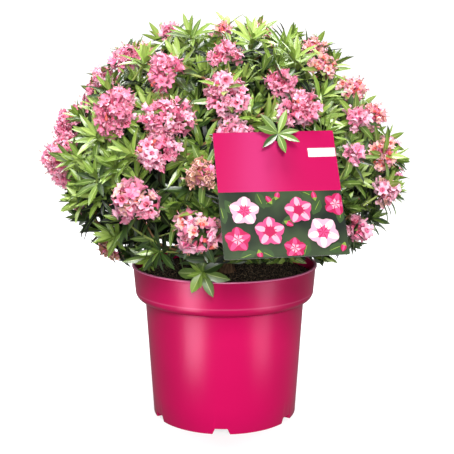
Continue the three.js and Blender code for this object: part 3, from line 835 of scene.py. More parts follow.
@dataclass
class Crown:
    """The crown's reach and its shoots, by the rule that the solids follow."""

    card: CardPlace
    heart_height: float = 255.0
    crown_reach: float = 242.0
    top_loss: float = 10.0
    top_power: int = 6
    shoulder_gain: float = 15.0
    shoulder_rise: float = 70.0
    shoulder_span: float = 24.0
    left_loss: float = 14.0
    left_power: int = 4
    belly: float = 15.0
    hem: float = -22.0
    hem_loss: float = 0.36
    hem_power: float = 1.25
    skirt_radius: float = 145.0
    skirt_height: float = 186.0
    front_hem_height: float = 187.0
    front_hem_slope: float = 0.21
    front_hem_half: float = 115.0
    left_hem_slope: float = 0.1
    left_hem_side: float = -42.0
    hem_wave: float = 8.0
    hem_waves: tuple[int, int] = (9, 23)
    rim_room: float = 2.0
    rim_lift: float = 1.5
    card_room: float = 2.0
    card_depth: float = 2.5
    pot_height: float = 190.0
    lip_radius: float = 115.0
    depth_cost: float = 0.35
    min_climb: float = 14.0
    spread_trusses: int = 100
    spread_shoots: int = 200
    front_half: float = 97.0
    truss_lowest: float = -10.0
    shoot_lowest: float = -28.0
    truss_room: float = 35.0
    shoot_inset: float = 30.0
    truss_inset: float = 25.0
    inset_spread: float = 7.0
    inset_bias: float = 0.3
    truss_radius: float = 25.0
    truss_sizes: Pair = (0.8, 0.25)
    leaf_width: float = 14.0
    fine_spread: int = 820
    fine_lowest: float = -26.0
    fine_room: float = 16.0
    truss_clear: float = 5.0
    fine_inset: float = 33.0
    fine_inset_spread: float = 24.0
    bloom_share: float = 0.88
    high_elevation: float = 57.0
    high_share: float = 0.56
    right_side: float = 0.5
    right_share: float = 0.6
    back_share: float = 1.06
    back_change: float = 0.24
    back_waves: tuple[int, int] = (11, 7)
    truss_shade: float = 34.0
    truss_shade_inset: float = 15.0
    airy_height: float = 0.06
    airy_sides: Pair = (-0.2, 0.6)
    airy_share: float = 0.74
    inner_spread: int = 270
    inner_lowest: float = -22.0
    inner_inset: float = 84.0
    inner_inset_spread: float = 34.0
    seed: int = 2024
    fine_seed: int = 2031
    rings: tuple[RingSizes, ...] = (
        RingSizes("low", 7, -8, -10, 108, (5.0, 3.2), (198, 212), -9),
        RingSizes("high", 5, 38, 2, 124, (4.8, 3.2), (222, 229), 6),
        RingSizes("top", 1, 90, 0, 124, (5.4, 3.4), (236,), 0),
    )
    # Trusses that open towards the front: azimuth, elevation and radius.
    front_trusses: tuple[Triple, ...] = (
        (-82, 48, 17), (-43, 36, 30), (-82, 30, 26), (-75, 19, 27), (-64, 56, 17),
        (-25, 50, 21), (-19, 33, 29), (-20, 23, 24), (1, 56, 15), (0, 43, 22),
        (3, 33, 22), (24, 46, 17), (26, 36, 25), (-3, 84, 16), (71, 78, 19),
        (80, 61, 21), (57, 53, 20), (72, 43, 25), (52, 33, 20), (68, 33, 23),
        (62, 21, 24), (44, 22, 17), (60, 10, 21), (54, -2, 22), (-27, 10, 25),
        (-7, 1, 25), (-6, 18, 16), (-76, 73, 18), (-58, -11, 14), (90, 22, 20),
    )

    def __post_init__(self) -> None:
        """Places the masses."""
        self.masses = [
            Mass(ring, number, heading(ring.azimuth + 360 / ring.count * number, ring.elevation))
            for ring in self.rings
            for number in range(ring.count)
        ]

    def to_frame(self, points: Array) -> Array:
        """Points measured from the heart, measured from the pot's foot."""
        return points + self.heart_height * UP

    def reach(self, points: Array) -> Array:
        """How far from the heart the crown reaches.

        Args:
            points: Points from the heart, whose directions are looked in.

        Returns:
            The reach in each direction.
        """
        size = np.maximum(np.linalg.norm(points, axis=-1), TINY)
        lift = points[..., 2] / size
        rise = np.degrees(np.arcsin(np.clip(lift, -1, 1)))
        shoulder = np.maximum(0, 1 - ((rise - self.shoulder_rise) / self.shoulder_span) ** 2)
        high = self.crown_reach - self.top_loss * np.maximum(0, lift) ** self.top_power
        high = high + self.shoulder_gain * shoulder
        sink = np.clip((self.belly - rise) / (self.belly - self.hem), 0, 1)
        low = self.crown_reach * (1 - self.hem_loss * sink**self.hem_power)
        skirt = self.skirt_radius / np.maximum(np.cos(np.radians(rise)), TINY)
        reach = np.where(rise < self.hem, skirt, np.where(rise < self.belly, low, high))
        return reach - self.left_loss * np.maximum(0, -points[..., 0] / size) ** self.left_power

    def card_distance(self, direction: Array) -> float:
        """How far the card is from the heart.

        Args:
            direction: Unit vector to look in.

        Returns:
            The distance, or infinity where the card isn't met.
        """
        ends = self.card.to_card(self.to_frame(np.stack([np.zeros(3), direction])))
        step = ends[1] - ends[0]
        distance = -ends[0][2] / step[2]
        met = self.card.covers(ends[0] + step * distance, self.leaf_width)
        return distance if distance > 0 and met else math.inf

    def within(self, points: Array) -> Array:
        """Which things keep to the crown's reach, off the pot and behind the card.

        Args:
            points: Test points, things by points by 3, from the heart.

        Returns:
            One truth for each thing.
        """
        inside = np.linalg.norm(points, axis=-1) <= self.reach(points)
        placed = self.to_frame(points)
        x, y, height = placed[..., 0], placed[..., 1], placed[..., 2]
        around = np.arctan2(x, -y)
        broad, narrow = self.hem_waves
        wave = self.hem_wave * (1 + np.sin(broad * around) + np.sin(narrow * around))
        by_rim = np.hypot(x, y) < self.lip_radius + self.rim_room
        hem = np.where(by_rim, self.pot_height + self.rim_lift, self.skirt_height)
        off_pot = height > hem + np.maximum(0, wave)
        slope = np.where(x < self.left_hem_side, self.left_hem_slope, self.front_hem_slope)
        front_hem = self.front_hem_height + slope * np.maximum(0, -y)
        off_pot &= (np.abs(x) > self.front_hem_half) | (height > front_hem)
        local = self.card.to_card(placed)
        on_card = self.card.covers(local, self.card_room) & (local[..., 2] > -self.card_depth)
        return np.all(inside & off_pot & ~on_card, axis=-1)

    def _far(self, direction: Array, shoots: Sequence[Shoot], room: float) -> bool:
        """Whether a direction keeps its room from all shoots."""
        return all(np.linalg.norm(direction - s.direction) * self.crown_reach > room for s in shoots)

    def _clear(self, direction: Array, trusses: Sequence[Shoot], margin: float) -> bool:
        """Whether a direction keeps a margin from the blossom of all trusses."""
        return all(self._far(direction, [truss], truss.truss + margin) for truss in trusses)

    def main_shoots(self) -> list[Shoot]:
        """Places the shoots of the solids: trusses given at the front, the rest spread by rule.

        Returns:
            The shoots.
        """
        draw = Draws(self.seed)
        least, change = self.truss_sizes
        shoots = [Shoot(heading(az, el), radius) for az, el, radius in self.front_trusses]
        for direction in even_spread(self.spread_trusses):
            azimuth = math.degrees(math.atan2(direction[0], -direction[1]))
            if abs(azimuth) <= self.front_half or elevation_of(direction) < self.truss_lowest:
                continue
            if self._far(direction, shoots, self.truss_room):
                shoots.append(Shoot(direction, self.truss_radius * (least + change * draw())))
        trusses = list(shoots)
        for direction in even_spread(self.spread_shoots):
            high = elevation_of(direction) >= self.shoot_lowest
            if high and self._far(direction, trusses, self.truss_room):
                shoots.append(Shoot(direction))
        for shoot in shoots:
            inset = self.truss_inset if shoot.truss else self.shoot_inset
            inset += self.inset_spread * (draw() - self.inset_bias)
            self._set_tip(shoot, inset)
            shoot.truss *= self._bloom_size(shoot.direction)
        return shoots

    def _bloom_size(self, direction: Array) -> float:
        """Size of a truss against its room: those high up and on the right are past their best.

        Args:
            direction: Unit vector of its shoot.

        Returns:
            The share of its radius.
        """
        if elevation_of(direction) > self.high_elevation:
            return self.high_share
        if direction[1] > 0:
            across, up = self.back_waves
            wave = math.sin(across * direction[0] + up * direction[2])
            return self.back_share + self.back_change * wave
        return self.right_share if direction[0] > self.right_side else self.bloom_share

    def _set_tip(self, shoot: Shoot, inset: float) -> None:
        """Puts a shoot's tip at an inset from the reach or from the card."""
        reach = min(float(self.reach(shoot.direction)), self.card_distance(shoot.direction))
        shoot.tip = shoot.direction * (reach - inset)

    def fine_shoots(self, main: Sequence[Shoot]) -> list[Shoot]:
        """Places finer leafy shoots in the room that the main ones leave, and darker ones inside, whose
        leaves are painted shade.

        Args:
            main: The main shoots.

        Returns:
            The finer shoots.
        """
        draw = Draws(self.fine_seed)
        shoots = []
        trusses = [shoot for shoot in main if shoot.truss]
        for direction in even_spread(self.fine_spread):
            high = elevation_of(direction) >= self.fine_lowest
            if not high or not self._far(direction, main, self.fine_room):
                continue
            if not self._clear(direction, trusses, self.truss_clear):
                continue
            if self.airy(direction) and draw() < self.airy_share:
                continue
            shaded = not self._clear(direction, trusses, self.truss_shade)
            inset = self.fine_inset + self.fine_inset_spread * draw()
            shoot = Shoot(direction, fine=True)
            self._set_tip(shoot, inset + self.truss_shade_inset * shaded)
            shoots.append(shoot)
        for direction in even_spread(self.inner_spread):
            if elevation_of(direction) < self.inner_lowest:
                continue
            if self.airy(direction) and draw() < self.airy_share:
                continue
            shoot = Shoot(direction, fine=True, inner=True)
            self._set_tip(shoot, self.inner_inset + self.inner_inset_spread * draw())
            shoots.append(shoot)
        return shoots

    def airy(self, direction: Array) -> bool:
        """Whether a direction is low at the left or right, where light shows between the twigs."""
        left, right = self.airy_sides
        return direction[2] < self.airy_height and not left < direction[0] < right

    def nearest_mass(self, direction: Array) -> Mass:
        """The mass whose direction is nearest."""
        return max(self.masses, key=lambda mass: float(mass.direction @ direction))

    def first_fork(self, mass: Mass) -> Array:
        """Where the stem of a mass first forks."""
        return mass.direction * mass.ring.fork_reach

    def grow(self, mass: Mass, main: Sequence[Shoot], fine: Sequence[Shoot]) -> list[Shoot]:
        """Gives the shoots of a mass their feet and axes.

        Each grows from the fork that makes its way short and offers a fork half way. The finer
        ones follow the main ones.

        Args:
            mass: The mass.
            main: Its main shoots.
            fine: Its finer shoots.

        Returns:
            All its shoots.
        """
        forks = [(self.first_fork(mass), 0.0)]
        grown = []
        for batch in (main, fine):
            for shoot in sorted(batch, key=lambda s: -float(s.direction @ mass.direction)):
                limit = np.linalg.norm(shoot.tip) - self.min_climb
                below = forks[:1] + [fork for fork in forks[1:] if np.linalg.norm(fork[0]) < limit]
                costs = [np.linalg.norm(at - shoot.tip) + self.depth_cost * depth for at, depth in below]
                foot, depth = below[int(np.argmin(costs))]
                middle = (foot + shoot.tip) / 2
                forks.append((middle, depth + float(np.linalg.norm(middle - foot))))
                shoot.foot = foot
                shoot.axis = unit(unit(shoot.tip - foot) + shoot.direction)
                grown.append(shoot)
        return grown


# Leaves.


@dataclass(frozen=True)
class WhorlForm:
    """A whorl of leaves: how many, how long, how far they lean and how they curl, in degrees."""

    count: int
    length: float
    width: float
    lean: float
    lean_spread: float
    curl: float
    rise: float = 5.0


@dataclass
class LeafBatch:
    """Leaves of the crown, collected and then made in one go."""

    crown: Crown
    draw: Random
    fits: Callable[[Array], Array] | None = None
    stations: Floats = (0.0, 0.14, 0.36, 0.6, 0.82, 1.0)
    outline: Floats = (0.09, 0.42, 0.93, 1.0, 0.62, 0.05)
    tested_station: int = 2
    rib_share: float = 0.06
    fold: float = 16.0
    turn_draw: float = 0.22
    size_range: Pair = (0.78, 1.08)
    curl_range: Pair = (0.5, 1.5)
    least_curl: float = 1.0
    twist_draw: float = 16.0
    width_range: Pair = (0.88, 1.1)
    lean_changes: Floats = (0, 14, -16, 26, -32)
    tint_changes: tuple[int, ...] = (0, 0, 0, 1, -1)
    shrink: float = 0.93

    # Where a leaf's row holds its numbers, after its base, its shoot's axis and its way out.
    LEAN, SIZE, CURL, TWIST, WIDTH = range(9, 14)

    def __post_init__(self) -> None:
        """Starts empty, and tests leaves against the crown's reach unless told otherwise."""
        self.rows: list[tuple] = []
        self.tints: list[int] = []
        self.fits = self.fits or self.crown.within

    def add(self, hub: Array, axis: Array, form: WhorlForm, tint: int) -> None:
        """Adds a whorl.

        Args:
            hub: Where its leaves spring, from the heart.
            axis: Direction of the shoot.
            form: The whorl's form.
            tint: Number of its leaf tint.
        """
        side, back = cross_frame(axis)
        start = self.draw.uniform(0, 2 * math.pi)
        for i in range(form.count):
            step = i + self.draw.uniform(-self.turn_draw, self.turn_draw)
            turn = start + 2 * math.pi * step / form.count
            base = hub - axis * self.draw.uniform(0, form.rise)
            lean = form.lean + self.draw.uniform(-1, 1) * form.lean_spread
            size = form.length * self.draw.uniform(*self.size_range)
            curl = form.curl * self.draw.uniform(*self.curl_range)
            twist = self.draw.uniform(-self.twist_draw, self.twist_draw)
            width = form.width * self.draw.uniform(*self.width_range)
            self.rows.append((*base, *axis, *turned(side, back, turn), lean, size, curl, twist, width))
            aged = tint + self.draw.choice(self.tint_changes)
            self.tints.append(int(np.clip(aged, number_of(LeafTint.YOUNG), number_of(LeafTint.SHADE))))

    def _shape(self, rows: Array, lean: Array, size: Array) -> tuple[Array, Array, Array]:
        """Works out the shape of leaves.

        Args:
            rows: The leaves' rows.
            lean: How far each leans from its shoot, in degrees.
            size: Length of each.

        Returns:
            Points of the centre lines, and the level and the upward part of the way to an edge.
        """
        base, axis, out = rows[:, 0:3], rows[:, 3:6], rows[:, 6:9]
        tilt = np.radians(lean)[:, None]
        along = axis * np.cos(tilt) + out * np.sin(tilt)
        face = axis * np.sin(tilt) - out * np.cos(tilt)
        across = np.cross(along, face)
        twist = np.radians(rows[:, self.TWIST])[:, None]
        turned_face = face * np.cos(twist) + across * np.sin(twist)
        across = across * np.cos(twist) - face * np.sin(twist)
        bend = np.radians(np.maximum(rows[:, self.CURL], self.least_curl))[:, None]
        turn = bend * np.array(self.stations)[None]
        run = (np.sin(turn) / bend)[..., None]
        drop = ((1 - np.cos(turn)) / bend)[..., None]
        along, face = along[:, None], turned_face[:, None]
        centre = base[:, None] + size[:, None, None] * (along * run - face * drop)
        normal = face * np.cos(turn)[..., None] + along * np.sin(turn)[..., None]
        half = (rows[:, self.WIDTH] / 2)[:, None, None] * np.array(self.outline)[None, :, None]
        fold = math.radians(self.fold)
        return centre, across[:, None] * half * math.cos(fold), normal * half * math.sin(fold)

    def build(self, sheaf: Sheaf) -> int:
        """Makes the leaves that fit, each at the first lean at which it does.

        Args:
            sheaf: Where they go.

        Returns:
            How many leaves were made.
        """
        rows, tints = np.array(self.rows), np.array(self.tints)
        lean, size = rows[:, self.LEAN].copy(), rows[:, self.SIZE].copy()
        settled = np.zeros(len(rows), bool)
        tested = slice(self.tested_station, self.tested_station + 1)
        for attempt, change in enumerate(self.lean_changes):
            tried = rows[:, self.LEAN] + change
            length = rows[:, self.SIZE] * self.shrink**attempt
            centre, reach, rise = self._shape(rows, tried, length)
            edges = [(centre + (rise + way * reach))[:, tested] for way in (1, -1)]
            fit = self.fits(np.concatenate([centre[:, 1:], *edges], axis=1)) & ~settled
            lean[fit] = tried[fit]
            size[fit] = length[fit]
            settled |= fit
        tints = tints[settled]
        centre, reach, rise = self._shape(rows[settled], lean[settled], size[settled])
        columns = [
            centre - reach + rise,
            centre - reach * self.rib_share,
            centre + reach * self.rib_share,
            centre + reach + rise,
        ]
        points = np.stack(columns, axis=2).reshape(len(tints), -1, 3)
        quads = sheet_quads(len(self.stations), len(columns))
        light, dark = number_of(LeafTint.RIB_LIGHT), number_of(LeafTint.RIB_DARK)
        face_tints = np.repeat(tints[:, None], len(quads), axis=1)
        ribs = np.where(tints <= number_of(LeafTint.GREEN), light, dark)
        face_tints[:, 1 :: len(columns) - 1] = ribs[:, None]
        sheaf.add(self.crown.to_frame(points), quads, face_tints)
        return len(tints)


# Blossom.


@dataclass
class FloretSizes:
    """One funnel-shaped floret with five lobes."""

    radius: float = 7.8
    low_gain: float = 1.34
    columns: int = 15
    lobes: int = 5
    notch: float = 0.55
    lobe_power: float = 0.6
    ring_shares: Floats = (0.1, 0.3, 0.74, 1.0)
    ring_heights: Floats = (-5.5, -0.8, 1.0, 0.2)
    closing_lift: Floats = (0.0, 0.6, 3.0, 5.4)
    closing_draw: float = 0.4
    ruffle: float = 1.5
    tube_share: float = 0.3
    closing_spread: Pair = (1.3, 2.2)
    size_range: Pair = (0.82, 1.12)


class BloomAge(Enum):
    """Tints of a floret's bands from the foot of its tube to its margin."""

    OPEN = (BloomTint.THROAT, BloomTint.PINK, BloomTint.BLUSH)
    BRIGHT = (BloomTint.MAGENTA, BloomTint.PINK, BloomTint.ROSE)
    SOFT = (BloomTint.MAGENTA, BloomTint.BLUSH, BloomTint.BLUSH)
    DEEP = (BloomTint.THROAT, BloomTint.ROSE, BloomTint.PINK)
    OLD = (BloomTint.CORAL, BloomTint.SALMON, BloomTint.BLUSH)
    SPENT = (BloomTint.STAMEN, BloomTint.FADED, BloomTint.SALMON)


@dataclass
class Blossom:
    """Trusses of florets, buds and stamens."""

    crown: Crown
    draw: Random
    sizes: FloretSizes = field(default_factory=FloretSizes)
    head_size: float = 0.6
    side_heads: tuple[int, int] = (2, 5)
    side_size: Pair = (0.4, 0.6)
    side_turn: float = 0.3
    side_place: Pair = (0.45, 0.78)
    side_drop: Pair = (-0.05, 0.25)
    floret_room: float = 88.0
    low_height: float = 0.25
    low_room: float = 1.5
    low_tilt: float = 0.6
    low_old_share: float = 0.3
    mixed_share: float = 0.55
    # Size of the truss's inner dome of deeper-toned florets, painted shade in its depth.
    shade_core_size: float = 0.62
    cap_angle: float = 116.0
    fall_draw: float = 0.1
    turn_draw: float = 0.2
    tilt_draw: float = 0.7
    seat_range: Pair = (0.86, 1.08)
    hidden_share: float = 0.9
    pulls: Floats = (1.0, 0.82, 0.64)
    petal_room: float = 3.0
    stamen_count: int = 2
    stamen_sides: int = 3
    stamen_heights: Floats = (-2.0, 5.625, 7.5)
    stamen_radii: Floats = (0.24, 0.3, 0.48)
    stamen_turn: float = 0.4
    stamen_splay: Pair = (0.12, 0.42)
    bud_share: float = 0.06
    bud_rose_share: float = 0.6
    bud_range: Pair = (0.8, 1.15)
    bud_length: float = 8.0
    bud_radius: float = 2.1
    bud_sides: int = 6
    bud_stations: Floats = (-0.75, -0.2, 0.15, 0.38, 0.5)
    bud_outline: Floats = (0.25, 0.6, 1.0, 0.75, 0.08)

    FRESH = (BloomAge.OPEN, BloomAge.BRIGHT, BloomAge.SOFT, BloomAge.DEEP)

    # Where the row of a floret or bud holds its numbers, after its mouth and axis.
    SIZE, TURN = 6, 7

    def __post_init__(self) -> None:
        """Starts empty."""
        self.florets: list[tuple] = []
        self.ages: list[BloomAge] = []
        self.buds: list[tuple] = []
        self.bud_tints: list[int] = []

    def add_truss(self, shoot: Shoot, age: BloomAge) -> None:
        """Adds the florets and buds of one truss.

        Args:
            shoot: The flowering shoot.
            age: How far its flowers are.
        """
        size = shoot.truss
        side, back = cross_frame(shoot.axis)
        start = self.draw.uniform(0, 2 * math.pi)
        count = self.draw.integers(*self.side_heads)
        heads = [(shoot.tip + shoot.axis * size * (1 - self.head_size), size * self.head_size)]
        for i in range(count):
            turn = start + 2 * math.pi * (i + self.draw.uniform(-self.side_turn, self.side_turn)) / count
            place = turned(side, back, turn) * self.draw.uniform(*self.side_place)
            place = place - shoot.axis * self.draw.uniform(*self.side_drop)
            heads.append((shoot.tip + place * size, size * self.draw.uniform(*self.side_size)))
        for head in heads:
            self._add_head(shoot, age, head, [other for other in heads if other is not head])
        # An inner dome of deeper-toned florets is painted shade in the truss's depth.
        self._add_head(shoot, BloomAge.DEEP, (shoot.tip, size * self.shade_core_size), [])

    def _add_head(
        self,
        shoot: Shoot,
        age: BloomAge,
        head: tuple[Array, float],
        others: Sequence[tuple[Array, float]],
    ) -> None:
        """Adds florets and buds over one dome of a truss.

        Args:
            shoot: The flowering shoot.
            age: How far its flowers are.
            head: The dome's centre and radius.
            others: The truss's other domes, which hide what lies inside them.
        """
        centre, radius = head
        low = shoot.direction[2] < self.low_height
        room = self.floret_room * (self.low_room if low else 1)
        tilt_draw = self.tilt_draw * (self.low_tilt if low else 1)
        cap = 1 - math.cos(math.radians(self.cap_angle))
        count = round(2 * math.pi * radius**2 * cap / room)
        axis = unit(centre - shoot.tip + shoot.axis * radius)
        side, back = cross_frame(axis)
        for i in range(count):
            fall = math.acos(1 - (i + 0.5) / count * cap)
            fall += self.draw.uniform(-self.fall_draw, self.fall_draw)
            turn = math.radians(i * GOLDEN_TURN) + self.draw.uniform(-self.turn_draw, self.turn_draw)
            way = axis * math.cos(fall) + turned(side, back, turn) * math.sin(fall)
            seat = radius * self.draw.uniform(*self.seat_range)
            mouth = centre + way * seat
            tilt = unit(way + self.draw.uniform(-1, 1, 3) * tilt_draw)
            if any(np.linalg.norm(mouth - spot) < self.hidden_share * span for spot, span in others):
                continue
            for pull in self.pulls:
                mouth = centre + way * seat * pull
                if self.crown.within(np.array([[mouth + unit(way) * self.petal_room]]))[0]:
                    break
            if self.draw.random() < self.bud_share:
                tint = BloomTint.ROSE if self.draw.random() < self.bud_rose_share else BloomTint.CORAL
                self.buds.append((*mouth, *tilt, self.draw.uniform(*self.bud_range)))
                self.bud_tints.append(number_of(tint))
                continue
            self.ages.append(self._own_age(age, low))
            size = self.sizes.radius * self.draw.uniform(*self.sizes.size_range)
            if low:
                size *= self.sizes.low_gain
            self.florets.append((*mouth, *tilt, size, self.draw.uniform(0, 2 * math.pi)))

    def _own_age(self, age: BloomAge, low: bool) -> BloomAge:
        """Age of one floret: fresh ones vary, and some low down are past their best.

        Args:
            age: Age of the truss.
            low: Whether the truss is low on the crown.

        Returns:
            The floret's age.
        """
        if age not in self.FRESH:
            return age
        if self.draw.random() < self.mixed_share:
            age = self.FRESH[self.draw.integers(len(self.FRESH))]
        return BloomAge.OLD if low and self.draw.random() < self.low_old_share else age

    def build(self, sheaf: Sheaf, small: Sheaf) -> int:
        """Makes all florets with their stamens, and the buds.

        Args:
            sheaf: Where the florets go.
            small: Where the stamens and buds go.

        Returns:
            How many florets were made.
        """
        rows = np.array(self.florets)
        mouth, axis = rows[:, 0:3], rows[:, 3:6]
        side, back = cross_frame(axis)
        rims = mouth + axis * self.sizes.ring_heights[-2]
        reach = rows[:, self.SIZE : self.SIZE + 1]
        tests = np.stack([rims + way * reach for way in (side, -side, back, -back)], axis=1)
        keep = self.crown.within(tests)
        rows, mouth, axis, side, back = rows[keep], mouth[keep], axis[keep], side[keep], back[keep]
        ages = [age for age, kept in zip(self.ages, keep) if kept]
        sheaf.add(
            self.crown.to_frame(self._floret_points(rows, side, back)),
            sheet_quads(len(self.sizes.ring_shares), self.sizes.columns, closed=True),
            self._floret_tints(ages),
        )
        for i in range(self.stamen_count):
            first = 2 * math.pi * i / self.stamen_count
            turn = first + self.draw.uniform(-self.stamen_turn, self.stamen_turn, len(rows))
            out = side * np.cos(turn)[:, None] + back * np.sin(turn)[:, None]
            splay = self.draw.uniform(*self.stamen_splay, len(rows))[:, None]
            self._build_stamens(small, mouth, unit(axis + out * splay))
        if self.buds:
            self._build_buds(small)
        return len(rows)

    def _floret_points(self, rows: Array, side: Array, back: Array) -> Array:
        """Works out the corners of florets.

        Args:
            rows: The florets' rows.
            side: First direction across each.
            back: Second direction across each.

        Returns:
            Points, florets by corners by 3.
        """
        size = self.sizes
        turn = 2 * math.pi * (np.arange(size.columns) + 0.5) / size.columns
        lobe = size.notch + (1 - size.notch) * np.abs(np.cos(size.lobes * turn / 2)) ** size.lobe_power
        shares = np.array(size.ring_shares)[:, None]
        depth = np.clip((shares - size.tube_share) / (1 - size.tube_share), 0, 1)
        reach = shares * (1 - depth + depth * lobe[None])
        around = (turn[None, None] + rows[:, self.TURN][:, None, None])[..., None]
        closing = self.draw.beta(*size.closing_spread, len(rows))[:, None, None]
        wide = reach[None] * rows[:, self.SIZE][:, None, None]
        wide = wide * (1 - size.closing_draw * closing * depth[None])
        lift = np.array(size.ring_heights)[None, :, None]
        lift = lift + np.array(size.closing_lift)[None, :, None] * closing
        wave = self.draw.uniform(-1, 1, (len(rows), 1, size.columns)) * size.ruffle
        lift = (lift + wave * depth[None] ** 2)[..., None]
        flat = np.cos(around) * side[:, None, None] + np.sin(around) * back[:, None, None]
        mouth, axis = rows[:, None, None, 0:3], rows[:, None, None, 3:6]
        return (mouth + flat * wide[..., None] + axis * lift).reshape(len(rows), -1, 3)

    def _floret_tints(self, ages: Sequence[BloomAge]) -> Array:
        """Material number of each face of florets of some ages."""
        bands = np.array([[number_of(tint) for tint in age.value] for age in ages])
        return np.repeat(bands, self.sizes.columns, axis=1)

    def _build_stamens(self, sheaf: Sheaf, mouth: Array, way: Array) -> None:
        """Makes thin filaments with darker heads, one out of each throat.

        Args:
            sheaf: Where they go.
            mouth: Where the florets' mouths are.
            way: Direction of each stamen.
        """
        heights, radii = np.array(self.stamen_heights), np.array(self.stamen_radii)
        ring = rings_around(*cross_frame(way), self.stamen_sides)
        line = mouth[:, None] + way[:, None] * heights[None, :, None]
        points = line[:, :, None] + ring[:, None] * radii[None, :, None, None]
        bands = np.array([number_of(BloomTint.BLUSH), number_of(BloomTint.STAMEN)])
        tints = np.repeat(bands, self.stamen_sides)[None]
        sheaf.add(
            self.crown.to_frame(points.reshape(len(mouth), -1, 3)),
            sheet_quads(len(heights), self.stamen_sides, closed=True),
            np.repeat(tints, len(mouth), axis=0),
        )

    def _build_buds(self, sheaf: Sheaf) -> None:
        """Makes the closed buds among the florets.

        Args:
            sheaf: Where they go.
        """
        rows = np.array(self.buds)
        along = np.array(self.bud_stations) * self.bud_length
        radii = np.array(self.bud_outline) * self.bud_radius
        ring = rings_around(*cross_frame(rows[:, 3:6]), self.bud_sides)
        size = rows[:, self.SIZE][:, None, None]
        line = rows[:, None, 0:3] + rows[:, None, 3:6] * along[None, :, None] * size
        points = line[:, :, None] + ring[:, None] * radii[None, :, None, None] * size[..., None]
        points = points.reshape(len(rows), -1, 3)
        keep = self.crown.within(points)
        quads = sheet_quads(len(along), self.bud_sides, closed=True)
        tints = np.repeat(np.array(self.bud_tints)[:, None], len(quads), axis=1)
        sheaf.add(self.crown.to_frame(points[keep]), quads, tints[keep])


# Twigs.


@dataclass
class TwigBatch:
    """Twigs from their forks to their tips, each with a slight bow."""

    crown: Crown
    draw: Random
    sides: int = 5
    stations: int = 6
    green_spans: int = 3
    bow: float = 0.07

    def __post_init__(self) -> None:
        """Starts empty."""
        self.rows: list[tuple] = []

    def add(self, shoot: Shoot, radii: Pair) -> None:
        """Adds the twig of a shoot, with its radii at foot and tip."""
        sway = self.draw.uniform(-1, 1, 3) * self.bow * np.linalg.norm(shoot.tip - shoot.foot)
        self.rows.append((*shoot.foot, *shoot.tip, *sway, *radii))

    def build(self, sheaf: Sheaf) -> None:
        """Makes all twigs.

        Args:
            sheaf: Where they go.
        """
        rows = np.array(self.rows)
        foot, tip, sway = rows[:, None, 0:3], rows[:, None, 3:6], rows[:, None, 6:9]
        share = np.linspace(0, 1, self.stations)[None, :, None]
        line = foot * (1 - share) + tip * share + sway * 4 * share * (1 - share)
        ring = rings_around(*cross_frame(unit(rows[:, 3:6] - rows[:, 0:3])), self.sides)
        width = rows[:, 9][:, None] * (1 - share[..., 0]) + rows[:, 10][:, None] * share[..., 0]
        points = line[:, :, None] + ring[:, None] * width[:, :, None, None]
        quads = sheet_quads(self.stations, self.sides, closed=True)
        tints = np.full((len(rows), len(quads)), number_of(TwigTint.BROWN))
        tints[:, -self.green_spans * self.sides :] = number_of(TwigTint.GREEN)
        sheaf.add(self.crown.to_frame(points.reshape(len(rows), -1, 3)), quads, tints)


# Sub-assemblies.


